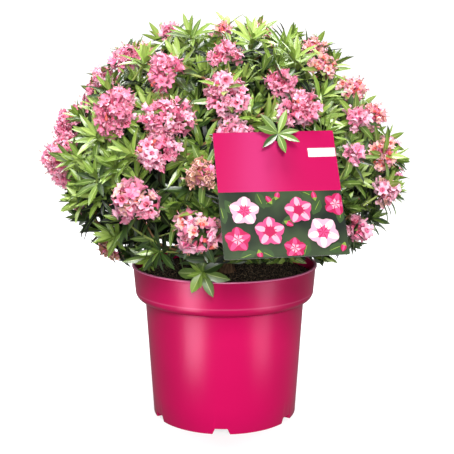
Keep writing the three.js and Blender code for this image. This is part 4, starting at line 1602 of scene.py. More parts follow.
@dataclass
class Foliage:
    """The twigs, leaves and blossom of the thirteen masses."""

    crown: Crown
    seed: int = 41
    rosette: WhorlForm = WhorlForm(10, 34, 7.4, 50, 26, 24, 10.0)
    tuft: WhorlForm = WhorlForm(5, 25, 5.8, 26, 16, 12, 1.5)
    collar: WhorlForm = WhorlForm(7, 37, 8.6, 72, 18, 30)
    older: WhorlForm = WhorlForm(6, 36, 8.8, 78, 20, 34, 14.0)
    inside: WhorlForm = WhorlForm(8, 40, 11.5, 66, 22, 24, 14.0)
    through: WhorlForm = WhorlForm(5, 30, 7.2, 46, 22, 20, 3.0)
    spray: WhorlForm = WhorlForm(8, 38, 7.8, 50, 26, 20, 30.0)
    sprig: WhorlForm = WhorlForm(7, 33, 12.0, 78, 14, 34, 3.0)
    lift: float = 0.22
    inner_step: float = 24.0
    hub_share: float = 0.5
    collar_step: float = 16.0
    rosette_step: float = 20.0
    tuft_step: float = 2.0
    through_share: float = 0.7
    through_spread: float = 0.5
    main_twig: Pair = (2.0, 1.1)
    fine_twig: Pair = (1.3, 0.8)
    # Leaf lightness by the shoot's height: partly young growth at the top, partly painted light above and
    # painted shade low down.
    lightness: float = 0.09
    youth_and_light_gain: float = 0.84
    lightness_spread: float = 0.3
    # Least lightness of each tint, and deep green below them all.
    tint_floors: tuple = ((0.95, LeafTint.YOUNG), (0.56, LeafTint.FRESH), (0.2, LeafTint.GREEN))
    # Tint steps from a rosette to the older whorl beneath it: partly older leaves, partly painted shade
    # for its depth.
    age_and_shade_change: int = 3
    old_elevation: float = 58.0
    old_share: float = 0.5
    spent_size: float = 15.0
    spent_height: float = 0.5
    open_share: float = 0.5
    bright_share: float = 0.75
    sprig_twig: Pair = (1.8, 1.1)
    sprig_tip: Triple = (-25.0, -121.0, 203.0)
    sprig_foot: Triple = (-14.0, -62.0, 236.0)
    sprig_axis: Triple = (-0.15, -0.8, 0.1)
    pot_room: float = 1.0

    def __post_init__(self) -> None:
        """Starts the draws."""
        self.draw = np.random.default_rng(self.seed)

    def grow(self) -> None:
        """Makes the pieces of each ring of masses, and the sprig over the rim."""
        leaf_paints, bloom_paints, twig_paints = map(paints_of, (LeafTint, BloomTint, TwigTint))
        main = self.crown.main_shoots()
        fine = self.crown.fine_shoots(main)
        for ring in self.crown.rings:
            leaves = LeafBatch(self.crown, self.draw)
            blossom = Blossom(self.crown, self.draw)
            twigs = TwigBatch(self.crown, self.draw)
            masses = [mass for mass in self.crown.masses if mass.ring is ring]
            for mass in masses:
                own = [
                    [shoot for shoot in batch if self.crown.nearest_mass(shoot.direction) is mass]
                    for batch in (main, fine)
                ]
                for shoot in self.crown.grow(mass, *own):
                    self._dress_shoot(shoot, leaves, blossom, twigs)
            leafy, petals, small, woody = Sheaf(), Sheaf(), Sheaf(), Sheaf()
            log.info("%d leaves in the %s ring", leaves.build(leafy), ring.name)
            log.info("%d florets in the %s ring", blossom.build(petals, small), ring.name)
            twigs.build(woody)
            nodes = [f"leaf_mass_{mass.node}" for mass in masses]
            leafy.finish(f"leaves_{ring.name}", leaf_paints, "foliage", nodes)
            petals.finish(f"blossom_{ring.name}", bloom_paints, "foliage")
            small.finish(f"stamens_{ring.name}", bloom_paints, "foliage")
            woody.finish(f"twigs_{ring.name}", twig_paints, "bark")
        self._rim_sprig(leaf_paints, twig_paints)

    def _rim_sprig(self, leaf_paints: Sequence[Material], twig_paints: Sequence[Material]) -> None:
        """Makes the low twig whose leaves hang over the front of the rim.

        Args:
            leaf_paints: Materials of the leaf tints.
            twig_paints: Materials of the twig tints.
        """
        draw = np.random.default_rng(self.seed + 1)
        tip = np.array(self.sprig_tip) - self.crown.heart_height * UP
        foot = np.array(self.sprig_foot) - self.crown.heart_height * UP
        axis = unit(np.array(self.sprig_axis))
        leaves, twigs = LeafBatch(self.crown, draw, self._off_pot), TwigBatch(self.crown, draw)
        leaves.add(tip, axis, self.sprig, number_of(LeafTint.GREEN))
        leaves.add(tip, axis, self.tuft, number_of(LeafTint.FRESH))
        twigs.add(Shoot(axis, tip=tip, foot=foot), self.sprig_twig)
        leafy, woody = Sheaf(), Sheaf()
        leaves.build(leafy)
        twigs.build(woody)
        leafy.finish("rim_leaves", leaf_paints, "foliage")
        woody.finish("rim_twig", twig_paints, "bark")

    def _off_pot(self, points: Array) -> Array:
        """Tells which things stay off the pot.

        Args:
            points: Test points, things by points by 3, from the heart.

        Returns:
            One truth for each thing.
        """
        placed = self.crown.to_frame(points)
        beside = np.hypot(placed[..., 0], placed[..., 1]) > self.crown.lip_radius + self.pot_room
        return np.all(beside | (placed[..., 2] > self.crown.pot_height + self.pot_room), axis=-1)

    def _dress_shoot(self, shoot: Shoot, leaves: LeafBatch, blossom: Blossom, twigs: TwigBatch) -> None:
        """Gives a shoot its twig, leaves and blossom, unless its tip stands out of the crown.

        Args:
            shoot: The shoot.
            leaves: Where its leaves go.
            blossom: Where its blossom goes.
            twigs: Where its twig goes.
        """
        if not self.crown.within(np.array([[shoot.tip]]))[0]:
            return
        twigs.add(shoot, self.fine_twig if shoot.fine else self.main_twig)
        tip, axis = shoot.tip, shoot.axis
        lifted = unit(axis + self.lift * UP)
        deep, painted_shade = number_of(LeafTint.DEEP), number_of(LeafTint.SHADE)
        # Inner shoots carry only painted-shade leaves, to darken the crown's depth.
        if shoot.inner:
            leaves.add(tip, axis, self.inside, painted_shade)
            leaves.add(tip - axis * self.inner_step, axis, self.inside, painted_shade)
            return
        tint = self._shoot_tint(shoot)
        if shoot.truss:
            blossom.add_truss(shoot, self._age(shoot))
            hub = tip - axis * shoot.truss * self.hub_share
            leaves.add(hub, axis, self.collar, min(tint + 1, deep))
            leaves.add(hub - axis * self.collar_step, axis, self.older, deep)
            if self.draw.random() < self.through_share:
                skew = unit(self.draw.normal(0, 1, 3)) * shoot.truss * self.through_spread
                leaves.add(tip + skew, lifted, self.through, tint)
            return
        airy = self.crown.airy(shoot.direction)
        if airy and shoot.fine:
            leaves.add(tip, axis, self.spray, deep)
            return
        leaves.add(tip, lifted, self.rosette, tint)
        leaves.add(tip + lifted * self.tuft_step, lifted, self.tuft, max(tint - 1, 0))
        if not airy:
            # The older whorl is darker for age and, down to painted shade, for lying deeper in the crown.
            below = min(tint + self.age_and_shade_change, painted_shade)
            leaves.add(tip - axis * self.rosette_step, axis, self.older, below)

    def _shoot_tint(self, shoot: Shoot) -> int:
        """Picks the leaf tint of a shoot, younger and lighter towards the top: partly young growth, partly
        painted light above and painted shade low down.

        Args:
            shoot: The shoot.

        Returns:
            The tint's number.
        """
        lightness = self.lightness + self.youth_and_light_gain * shoot.direction[2]
        lightness += self.draw.normal(0, self.lightness_spread)
        tint = next((tint for floor, tint in self.tint_floors if lightness > floor), LeafTint.DEEP)
        return number_of(tint)

    def _age(self, shoot: Shoot) -> BloomAge:
        """Picks the age of a truss, paler and fading near the top and on the right.

        Args:
            shoot: The flowering shoot.

        Returns:
            The age.
        """
        pick = self.draw.random()
        right = shoot.direction[0] > self.crown.right_side
        if right or elevation_of(shoot.direction) > self.old_elevation:
            return BloomAge.OLD if pick < self.old_share else BloomAge.SOFT
        if shoot.truss < self.spent_size and shoot.direction[2] < self.spent_height:
            return BloomAge.SPENT
        if pick < self.open_share:
            return BloomAge.OPEN
        return BloomAge.BRIGHT if pick < self.bright_share else BloomAge.SOFT


@dataclass
class Limbs:
    """The stem and the thirteen boughs with the relief of their bark."""

    crown: Crown
    soil_height: float = 178.0
    clearance: float = 0.3
    stem_top: float = 238.0
    stem_lean: Pair = (5.0, -3.0)
    stem_radii: Floats = (15, 11, 10, 9.4, 8.6, 7)
    bough_end: float = 96.0
    tip_share: float = 0.9
    tip_sink: float = 1.15
    stations: int = 22
    round_steps: int = 5
    relief: float = 0.9
    relief_size: float = 7.0

    def build(self) -> None:
        """Makes stem and boughs and joins them into one piece."""
        masses = self.crown.masses
        limbs = joined([self._stem()] + [self._bough(mass) for mass in masses])
        limbs.data.materials.append(BarkFinish().material())
        piece_done(limbs, "limbs", ["stem"] + [f"bough_{mass.node}" for mass in masses])

    def _stem(self) -> Piece:
        """Makes the stem with its root flare, from the peat to where it forks.

        Returns:
            The stem.
        """
        foot = np.array([0, 0, self.soil_height + self.clearance])
        top = np.array([*self.stem_lean, self.stem_top])
        knee = np.array([0, 0, (foot[2] + top[2]) / 2])
        return self._limb(foot, knee, top, self.stem_radii)

    def _bough(self, mass: Mass) -> Piece:
        """Makes a bough, from the stem's side to the first fork of its mass.

        Args:
            mass: The mass that it carries.

        Returns:
            The bough.
        """
        heights = mass.ring.root_heights
        height = heights[mass.number % len(heights)]
        low = self.soil_height + self.clearance
        share = (height - low) / (self.stem_top - low)
        root = np.array([*(np.array(self.stem_lean) * share * share), height])
        end = self.crown.to_frame(mass.direction * self.bough_end)
        bend = (root + end) / 2 + np.array([0, 0, mass.ring.sag])
        fork = self.crown.to_frame(self.crown.first_fork(mass))
        radii = (*mass.ring.bough_radii, mass.ring.bough_radii[1] * self.tip_share)
        return self._limb(root, bend, end + (fork - end) * self.tip_sink, radii)

    def _limb(self, foot: Array, bend: Array, end: Array, radii: Sequence[float]) -> Piece:
        """Makes a tapering limb along a bent line, with bark relief.

        Args:
            foot: Where it starts, in millimetres.
            bend: The bend's guide point.
            end: Where it ends.
            radii: Radii at even steps.

        Returns:
            The limb as a mesh object.
        """
        deselect_all()
        bpy.ops.curve.primitive_nurbs_path_add()
        curve = bpy.context.object.data
        curve.splines.clear()
        spline = curve.splines.new("POLY")
        spline.points.add(self.stations - 1)
        places = np.linspace(0, len(radii) - 1, self.stations)
        thick = np.interp(places, np.arange(len(radii)), radii)
        for i, point in enumerate(spline.points):
            t = i / (self.stations - 1)
            spot = foot * (1 - t) ** 2 + bend * 2 * t * (1 - t) + end * t * t
            point.co = (*(spot * MM), 1)
            point.radius = thick[i]
        curve.bevel_depth = MM
        curve.bevel_resolution = self.round_steps
        curve.use_fill_caps = True
        bpy.ops.object.convert(target="MESH")
        limb = bpy.context.object
        texture = bpy.data.textures.new("bark_relief", "CLOUDS")
        texture.noise_scale = self.relief_size * MM
        apply_modifier(limb, "DISPLACE", texture=texture, strength=self.relief * MM, mid_level=0.5)
        limb.data.shade_smooth()
        return limb


@dataclass
class NurseryPot:
    """The round nursery pot with its rim band, lip, drainage notches and drain holes."""

    height: float = 190.0
    wall: float = 2.0
    floor: float = 10.0
    base_radius: float = 90.0
    shoulder_radius: float = 99.0
    shoulder_height: float = 146.0
    band_foot_radius: float = 111.0
    band_foot_height: float = 157.0
    band_top_radius: float = 113.5
    lip_radius: float = 115.0
    lip_depth: float = 3.0
    edge: float = 0.8
    edge_share: float = 0.3
    bevel: float = 0.35
    bevel_steps: int = 2
    bevel_angle: float = 50.0
    smooth_angle: float = 32.0
    sides: int = 144
    flare_steps: int = 10
    wall_steps: int = 6
    notch_count: int = 6
    notch_first: float = -2.5
    notch_foot: float = 22.0
    notch_top: float = 15.0
    notch_height: float = 7.0
    channel_inner: float = 64.0
    channel_outer: float = 96.0
    drain_radius: float = 4.0
    drain_place: float = 76.0
    drain_sides: int = 24

    def body_radius(self, height: float) -> float:
        """Radius of the plain wall at a height."""
        return self.base_radius + (self.shoulder_radius - self.base_radius) * height / self.shoulder_height

    def _wall_line(self, inset: float, foot: float) -> list[Pair]:
        """Works out the line of the wall.

        Args:
            inset: How far it is set in from the outside.
            foot: Height at which it starts.

        Returns:
            Radius and height of each point, from the foot up.
        """
        spans = np.linspace(foot, self.shoulder_height, self.wall_steps)[:-1]
        line = [(self.body_radius(high) - inset, high + inset * (i > 0)) for i, high in enumerate(spans)]
        for i in range(self.flare_steps + 1):
            turn = math.pi / 2 * i / self.flare_steps
            radius = self.shoulder_radius + (self.band_foot_radius - self.shoulder_radius) * math.sin(turn)
            rise = (self.band_foot_height - self.shoulder_height) * math.cos(turn)
            line.append((radius - inset, self.band_foot_height - rise + inset))
        line.append((self.band_top_radius - inset, self.height - self.lip_depth))
        return line

    def _profile(self) -> list[Pair]:
        """Works out the section from the underside's rim, up, over the lip and down to the floor.

        Returns:
            Radius and height of each point.
        """
        lip_foot = self.height - self.lip_depth
        mouth = self.band_top_radius - self.wall
        soft = self.edge
        softer = self.edge_share * soft
        return [
            (self.base_radius - soft, 0.0),
            (self.base_radius - softer, softer),
            *self._wall_line(0, soft),
            (self.lip_radius - softer, lip_foot + softer),
            (self.lip_radius, lip_foot + soft),
            (self.lip_radius, self.height - soft),
            (self.lip_radius - softer, self.height - softer),
            (self.lip_radius - soft, self.height),
            (mouth + soft, self.height),
            (mouth + softer, self.height - softer),
            *self._wall_line(self.wall, self.floor)[::-1],
        ]

    def build(self) -> None:
        """Models the pot by raising a circle through its section, then cuts the notches."""
        profile = self._profile()
        deselect_all()
        bpy.ops.mesh.primitive_circle_add(vertices=self.sides, radius=profile[0][0] * MM, fill_type="NGON")
        pot = bpy.context.object
        bpy.ops.object.mode_set(mode="EDIT")
        bpy.ops.mesh.select_all(action="SELECT")
        for (radius, height), (wider, higher) in zip(profile, profile[1:]):
            rise = {"value": (0, 0, (higher - height) * MM)}
            bpy.ops.mesh.extrude_region_move(TRANSFORM_OT_translate=rise)
            share = wider / radius
            bpy.ops.transform.resize(value=(share, share, 1), center_override=(0, 0, higher * MM))
        bpy.ops.mesh.select_all(action="SELECT")
        bpy.ops.mesh.normals_make_consistent(inside=False)
        bpy.ops.object.mode_set(mode="OBJECT")
        cut_out(pot, self._cutter(), use_self=True)
        apply_modifier(
            pot,
            "BEVEL",
            width=self.bevel * MM,
            segments=self.bevel_steps,
            limit_method="ANGLE",
            angle_limit=math.radians(self.bevel_angle),
        )
        deselect_all()
        pot.select_set(True)
        bpy.context.view_layer.objects.active = pot
        bpy.ops.object.shade_smooth_by_angle(angle=math.radians(self.smooth_angle))
        pot.data.materials.append(PlasticFinish().material())
        piece_done(pot, "pot_shell", ["pot"])

    def _cutter(self) -> Piece:
        """Makes the bars and pins that cut the notches, channels and drain holes.

        Returns:
            All of them, joined.
        """
        parts = []
        depth = self.channel_outer - self.channel_inner
        middle = self.channel_inner + depth / 2
        for i in range(self.notch_count):
            turn = math.radians(self.notch_first + 360 / self.notch_count * i)
            deselect_all()
            bpy.ops.mesh.primitive_cube_add(size=1, location=(0, 0, 0.5))
            bar = bpy.context.object
            bpy.ops.object.transform_apply(location=True, rotation=False, scale=False)
            for vertex in bar.data.vertices:
                wide = self.notch_top if vertex.co.z > 0.5 else self.notch_foot
                vertex.co.x *= wide * MM
                vertex.co.y = vertex.co.y * depth * MM - middle * MM
                vertex.co.z = vertex.co.z * (self.notch_height + 1) * MM - MM
            deselect_all()
            bpy.ops.mesh.primitive_cylinder_add(
                vertices=self.drain_sides,
                radius=self.drain_radius * MM,
                depth=self.floor * 2 * MM,
                location=(0, -self.drain_place * MM, self.floor * MM),
            )
            pin = bpy.context.object
            bpy.ops.object.transform_apply(location=True, rotation=False, scale=False)
            for part in (bar, pin):
                part.data.transform(Matrix.Rotation(turn, 4, "Z"))
                parts.append(part)
        return joined(parts)


@dataclass
class PeatFill:
    """The peat in the pot: an uneven surface with loose crumbs and short fibres on it."""

    pot: NurseryPot
    height: float = 178.0
    clearance: float = 0.3
    edge_drop: float = 2.0
    edge_width: float = 14.0
    still_width: float = 3.0
    relief: float = 3.0
    relief_size: float = 14.0
    relief_detail: int = 3
    sides: int = 96
    rings: int = 26
    centre_rings: float = 1.5
    crumbs: int = 2200
    fibres: int = 260
    fibre_stretch: float = 5.0
    fibre_width: float = 0.22
    crumb_size: float = 2.2
    crumb_length: float = 0.6
    crumb_range: Pair = (0.3, 1.0)
    crumb_power: float = 1.5
    crumb_room: float = 5.0
    crumb_lift: float = 0.4
    crumb_sides: int = 5
    crumb_stations: Floats = (-1.0, -0.6, 0.5, 1.0)
    crumb_outline: Floats = (0.15, 0.9, 0.8, 0.12)
    outline_range: Pair = (0.7, 1.2)
    lying: Triple = (1, 1, 0.25)
    seed: int = 5

    def _surface(self, radius: Array) -> Array:
        """Works out the height of the peat's surface before its relief.

        Args:
            radius: Distances from the pot's axis.

        Returns:
            The height at each.
        """
        edge = self.pot.band_top_radius - self.pot.wall - self.clearance
        outer = np.clip((radius - edge + self.edge_width) / self.edge_width, 0, 1)
        return self.height - self.edge_drop * outer**2

    def build(self) -> None:
        """Makes the peat and its crumbs."""
        edge = self.pot.band_foot_radius - self.pot.wall - self.clearance
        deselect_all()
        bpy.ops.mesh.primitive_circle_add(vertices=self.sides, radius=edge * MM, fill_type="NGON")
        peat = bpy.context.object
        bpy.ops.object.mode_set(mode="EDIT")
        bpy.ops.mesh.select_all(action="SELECT")
        for _ in range(self.rings):
            bpy.ops.mesh.inset(thickness=edge / (self.rings + self.centre_rings) * MM, depth=0)
        bpy.ops.object.mode_set(mode="OBJECT")
        for vertex in peat.data.vertices:
            out = math.hypot(vertex.co.x, vertex.co.y) / MM
            vertex.co.z = float(self._surface(np.array(out))) * MM
        inner = peat.vertex_groups.new(name="open")
        reach = (edge - self.still_width) * MM
        loose = [v.index for v in peat.data.vertices if math.hypot(v.co.x, v.co.y) < reach]
        inner.add(loose, 1.0, "REPLACE")
        texture = bpy.data.textures.new("peat_relief", "CLOUDS")
        texture.noise_scale = self.relief_size * MM
        texture.noise_depth = self.relief_detail
        depth = self.relief * MM
        apply_modifier(
            peat, "DISPLACE", texture=texture, strength=depth, mid_level=0.5, vertex_group=inner.name
        )
        self._close_below(peat, edge)
        peat.data.shade_smooth()
        paint = PeatFinish().material()
        peat.data.materials.append(paint)
        piece_done(peat, "peat", ["soil"])
        self._scatter(paint, edge)

    def _close_below(self, peat: Piece, edge: float) -> None:
        """Takes the rim of the surface down the wall and closes the underside.

        Args:
            peat: The open surface.
            edge: Its radius.
        """
        bpy.context.view_layer.objects.active = peat
        bpy.ops.object.mode_set(mode="EDIT")
        bpy.ops.mesh.select_all(action="SELECT")
        bpy.ops.mesh.region_to_loop()
        room = self.pot.wall + self.clearance
        steps = [
            (edge, self.pot.band_foot_height + self.pot.wall),
            (self.pot.shoulder_radius - room, self.pot.shoulder_height + self.pot.wall),
            (self.pot.body_radius(self.pot.floor) - room, self.pot.floor + self.clearance),
        ]
        was, high = edge, self.height - self.edge_drop
        for radius, height in steps:
            rise = {"value": (0, 0, (height - high) * MM)}
            bpy.ops.mesh.extrude_edges_move(TRANSFORM_OT_translate=rise)
            share = radius / was
            bpy.ops.transform.resize(value=(share, share, 1), center_override=(0, 0, height * MM))
            was, high = radius, height
        bpy.ops.mesh.edge_face_add()
        bpy.ops.mesh.select_all(action="SELECT")
        bpy.ops.mesh.normals_make_consistent(inside=False)
        bpy.ops.object.mode_set(mode="OBJECT")

    def _scatter(self, paint: Material, edge: float) -> None:
        """Strews crumbs and short fibres over the peat.

        Args:
            paint: The peat's material.
            edge: Radius of the surface.
        """
        draw = np.random.default_rng(self.seed)
        sheaf = Sheaf()
        stations, outline = np.array(self.crumb_stations), np.array(self.crumb_outline)
        kinds = ((self.crumbs, 1.0, 1.0), (self.fibres, self.fibre_stretch, self.fibre_width))
        for count, stretch, slim in kinds:
            out = (edge - self.crumb_room) * np.sqrt(draw.random(count))
            turn = draw.uniform(0, 2 * math.pi, count)
            height = self._surface(out) + self.crumb_lift
            centre = np.stack([out * np.cos(turn), out * np.sin(turn), height], axis=1)
            size = self.crumb_size * draw.uniform(*self.crumb_range, count) ** self.crumb_power
            along = unit(draw.normal(0, 1, (count, 3)) * np.array(self.lying))
            ring = rings_around(*cross_frame(along), self.crumb_sides)
            uneven = draw.uniform(*self.outline_range, (count, len(stations), self.crumb_sides))
            thick = outline[None, :, None] * uneven * slim * size[:, None, None]
            run = (stations * stretch * self.crumb_length)[None, :, None] * size[:, None, None]
            line = centre[:, None] + along[:, None] * run
            points = line[:, :, None] + ring[:, None] * thick[..., None]
            quads = sheet_quads(len(stations), self.crumb_sides, closed=True)
            sheaf.add(points.reshape(count, -1, 3), quads, np.zeros((count, len(quads)), int))
        sheaf.finish("peat_crumbs", [paint], "soil")


@dataclass(frozen=True)
class PrintedShape:
    """A petal, leaf or bud of the card's picture: root, direction, size, inks and share of its core."""

    x: float
    y: float
    turn: float
    length: float
    half: float
    tones: tuple[CardTint, CardTint, CardTint]
    core: float

    def fan(self, count: int) -> list["PrintedShape"]:
        """Copies of the shape, turned evenly about its root."""
        return [replace(self, turn=self.turn + 360 / count * i) for i in range(count)]


LEAF_PRINT = (CardTint.LEAF_DARK, CardTint.LEAF_LIGHT, CardTint.LEAF_DARK)
BUD_PRINT = (CardTint.LEAF_LIGHT, CardTint.BLOSSOM_PINK, CardTint.BLOSSOM_DEEP)
STAMEN_PRINT = (CardTint.BLOSSOM_DEEP, CardTint.BLOSSOM_DEEP, CardTint.BLOSSOM_DEEP)
PALE_PRINT = (CardTint.BLOSSOM_PINK, CardTint.WHITE, CardTint.BLOSSOM_PALE)
PINK_PRINT = (CardTint.BLOSSOM_DEEP, CardTint.BLOSSOM_PALE, CardTint.BLOSSOM_PINK)
DEEP_PRINT = (CardTint.BLOSSOM_PALE, CardTint.BLOSSOM_PINK, CardTint.BLOSSOM_DEEP)


@dataclass
class CareCard:
    """The hanging card: plain magenta above, a generic picture of blossom below."""

    place: CardPlace
    crown: Crown
    corner: float = 1.5
    picture_top: float = 1.5
    picture_slope: float = 0.012
    strip: tuple[float, float, float, float] = (33.0, 61.4, 37.6, 47.2)
    corner_steps: int = 5
    hole_sides: int = 32
    hole_depth: float = 10.0
    print_lift: float = 0.06
    layer: float = 0.01
    print_margin: float = 1.0
    print_gap: float = 1.5
    ragged: Pair = (0.86, 1.12)
    root_rows: int = 2
    leaf_size: Pair = (17.0, 5.0)
    leaf_core: float = 0.07
    bud_size: Pair = (10.0, 2.8)
    bud_core: float = 0.4
    petals: int = 5
    petal_half: float = 0.46
    petal_core: float = 0.42
    stamens: int = 6
    stamen_share: float = 0.5
    stamen_half: float = 0.5
    stamen_core: float = 0.5
    twig_lift: float = 1.3
    twig_run: Pair = (30.0, 9.0)
    leaf_room: float = 1.2
    outline: Floats = (0.1, 0.52, 0.86, 1.0, 0.97, 0.74, 0.2)
    blooms: tuple[tuple, ...] = (
        (-47, -47, 13, DEEP_PRINT), (54, -14, 12, DEEP_PRINT), (8, -58, 11, DEEP_PRINT),
        (-38, -18, 15, PALE_PRINT), (16, -19, 14, PINK_PRINT), (-15, -40, 15, PINK_PRINT),
        (38, -43, 16, PALE_PRINT),
    )
    leaves: tuple[Triple, ...] = (
        (-18, -16, 110), (-20, -14, 35), (-58, -30, 100), (30, -24, 60), (34, -6, 150), (-30, -60, 200),
        (-28, -58, 330), (22, -50, 250), (56, -34, 80), (58, -56, 200), (-2, -32, 20), (-56, -6, 300),
    )
    buds: tuple[Triple, ...] = (
        (-6, -8, 70), (-10, -12, 120), (0, -30, 330), (58, -54, 250), (-28, -58, 280), (34, -10, 100),
    )
    whorl: WhorlForm = WhorlForm(7, 25, 7.5, 66, 12, 12, 1.0)
    feed_twig: Pair = (2.4, 1.3)
    run_twig: Pair = (1.3, 1.0)
    seed: int = 12

    def build(self) -> None:
        """Makes the board, its printed picture and the twig that carries it."""
        self._board()
        self._picture()
        self._sprig()

    def _board(self) -> None:
        """Makes the board with rounded corners and its hanging hole."""
        place = self.place
        deselect_all()
        bpy.ops.mesh.primitive_cube_add(size=1, location=(0, 0, place.thickness / 2 * MM))
        board = bpy.context.object
        board.scale = (place.width * MM, place.height * MM, place.thickness * MM)
        bpy.ops.object.transform_apply(location=True, rotation=False, scale=True)
        bpy.ops.object.mode_set(mode="EDIT")
        bpy.ops.mesh.select_mode(type="EDGE")
        bpy.ops.mesh.select_all(action="DESELECT")
        bpy.ops.object.mode_set(mode="OBJECT")
        for edge in board.data.edges:
            low, high = (board.data.vertices[i].co for i in edge.vertices)
            edge.select = (low.xy - high.xy).length < TINY
        bpy.ops.object.mode_set(mode="EDIT")
        bpy.ops.mesh.bevel(offset=self.corner * MM, segments=self.corner_steps, affect="EDGES")
        bpy.ops.mesh.select_all(action="SELECT")
        slope = Vector((self.picture_slope, 1, 0)).normalized()
        bpy.ops.mesh.bisect(plane_co=(0, self.picture_top * MM, 0), plane_no=slope)
        bpy.ops.mesh.select_mode(type="VERT")
        bpy.ops.object.mode_set(mode="OBJECT")
        deselect_all()
        bpy.ops.mesh.primitive_cylinder_add(
            vertices=self.hole_sides,
            radius=place.hole_radius * MM,
            depth=self.hole_depth * MM,
            location=(place.hole[0] * MM, place.hole[1] * MM, 0),
        )
        cut_out(board, bpy.context.object)
        for finish in (CardInkFinish(), CardGroundFinish(), CardTint.WHITE.value):
            board.data.materials.append(finish.material())
        for face in board.data.polygons:
            below = face.center.y < (self.picture_top - self.picture_slope * face.center.x / MM) * MM
            front = face.normal.z > 0.5
            face.material_index = int(below) if front else 2
        self._hang(board)
        piece_done(board, "card_board", ["care_card"])

    def _hang(self, piece: Piece) -> None:
        """Takes a mesh from the card's own frame to where the card hangs.

        Args:
            piece: The mesh's object.
        """
        there = Matrix(self.place.matrix().tolist())
        there.translation = Vector(self.place.centre) * MM
        piece.data.transform(there)

    def _picture(self) -> None:
        """Makes a generic picture of open blossoms, buds and leaves, and the empty strip."""
        draw = np.random.default_rng(self.seed)
        sheaf = Sheaf()
        left, right, low, high = self.strip
        lift = self.place.thickness + self.print_lift
        strip = np.array([[left, low, lift], [right, low, lift], [right, high, lift], [left, high, lift]])
        sheaf.add(strip[None], np.array([[0, 1, 2, 3]]), np.array([[number_of(CardTint.WHITE)]]))
        shapes = [PrintedShape(*leaf, *self.leaf_size, LEAF_PRINT, self.leaf_core) for leaf in self.leaves]
        for x, y, size, tones in self.blooms:
            start = draw.uniform(0, 360 / self.petals)
            petal = PrintedShape(x, y, start, size, size * self.petal_half, tones, self.petal_core)
            length = size * self.stamen_share
            stamen = PrintedShape(x, y, start, length, self.stamen_half, STAMEN_PRINT, self.stamen_core)
            shapes += petal.fan(self.petals) + stamen.fan(self.stamens)
        shapes += [PrintedShape(*bud, *self.bud_size, BUD_PRINT, self.bud_core) for bud in self.buds]
        for i, shape in enumerate(shapes):
            self._print(sheaf, shape, lift + self.layer * (i + 1), draw)
        picture = sheaf.build("card_print", paints_of(CardTint))
        self._hang(picture)
        piece_done(picture, "card_print")

    def _print(self, sheaf: Sheaf, shape: PrintedShape, lift: float, draw: Random) -> None:
        """Lays down a flat petal, leaf or bud with a slightly wavy edge, kept inside the picture.

        Args:
            sheaf: Where it goes.
            shape: What is printed.
            lift: Height over the board's back.
            draw: Source of draws.
        """
        widths = np.array(self.outline) * shape.half
        line = np.linspace(0, 1, len(widths))[:, None] * shape.length
        across = widths[:, None] * np.array([-1, -shape.core, shape.core, 1])
        across[:, (0, 3)] *= draw.uniform(*self.ragged, (len(widths), 2))
        turn = math.radians(shape.turn)
        x = shape.x + line * math.cos(turn) - across * math.sin(turn)
        y = shape.y + line * math.sin(turn) + across * math.cos(turn)
        side = self.place.width / 2 - self.print_margin
        foot = self.place.height / 2 - self.print_margin
        x = np.clip(x, -side, side)
        y = np.clip(y, -foot, self.picture_top - self.print_gap)
        quads = sheet_quads(len(widths), 4)[:, ::-1]
        root, core, margin = (number_of(tone) for tone in shape.tones)
        tints = np.full((len(widths) - 1, 3), margin)
        tints[:, 1] = core
        tints[: self.root_rows] = root
        points = np.stack([x, y, np.full_like(x, lift)], axis=-1)
        sheaf.add(points.reshape(1, -1, 3), quads, tints.reshape(1, -1))

    def _sprig(self) -> None:
        """Makes the twig through the card's hole, with a whorl of leaves in front of the card."""
        draw = np.random.default_rng(self.seed + 1)
        hole = np.array([self.place.hole[0], self.place.hole[1] + self.twig_lift, 0.0])
        behind, before = self.twig_run
        line = self.place.from_card(np.stack([hole - behind * UP, hole + before * UP]))
        line = line - self.crown.heart_height * UP
        fork = self.crown.first_fork(self.crown.nearest_mass(unit(line[0])))
        axis = unit(line[1] - line[0])
        twigs = TwigBatch(self.crown, draw, bow=0.0)
        twigs.add(Shoot(axis, tip=line[0], foot=fork), self.feed_twig)
        twigs.add(Shoot(axis, tip=line[1], foot=line[0]), self.run_twig)
        leaves = LeafBatch(self.crown, draw, self._before_card)
        face = unit(self.place.matrix()[:3, 2])
        leaves.add(line[1], unit(axis + face), self.whorl, number_of(LeafTint.GREEN))
        woody, leafy = Sheaf(), Sheaf()
        twigs.build(woody)
        leaves.build(leafy)
        woody.finish("card_twig", paints_of(TwigTint), "bark")
        leafy.finish("card_leaves", paints_of(LeafTint), "foliage")

    def _before_card(self, points: Array) -> Array:
        """Which things, by their test points from the heart, stand clear in front of the card."""
        local = self.place.to_card(self.crown.to_frame(points))
        return np.all(local[..., 2] > self.place.thickness + self.leaf_room, axis=-1)


@dataclass(frozen=True)
class Softbox:
    """A rectangular light: its place, what it faces, its size in metres and its power in watts."""

    name: str
    spot: Triple
    aim: Triple
    size: Pair
    power: float


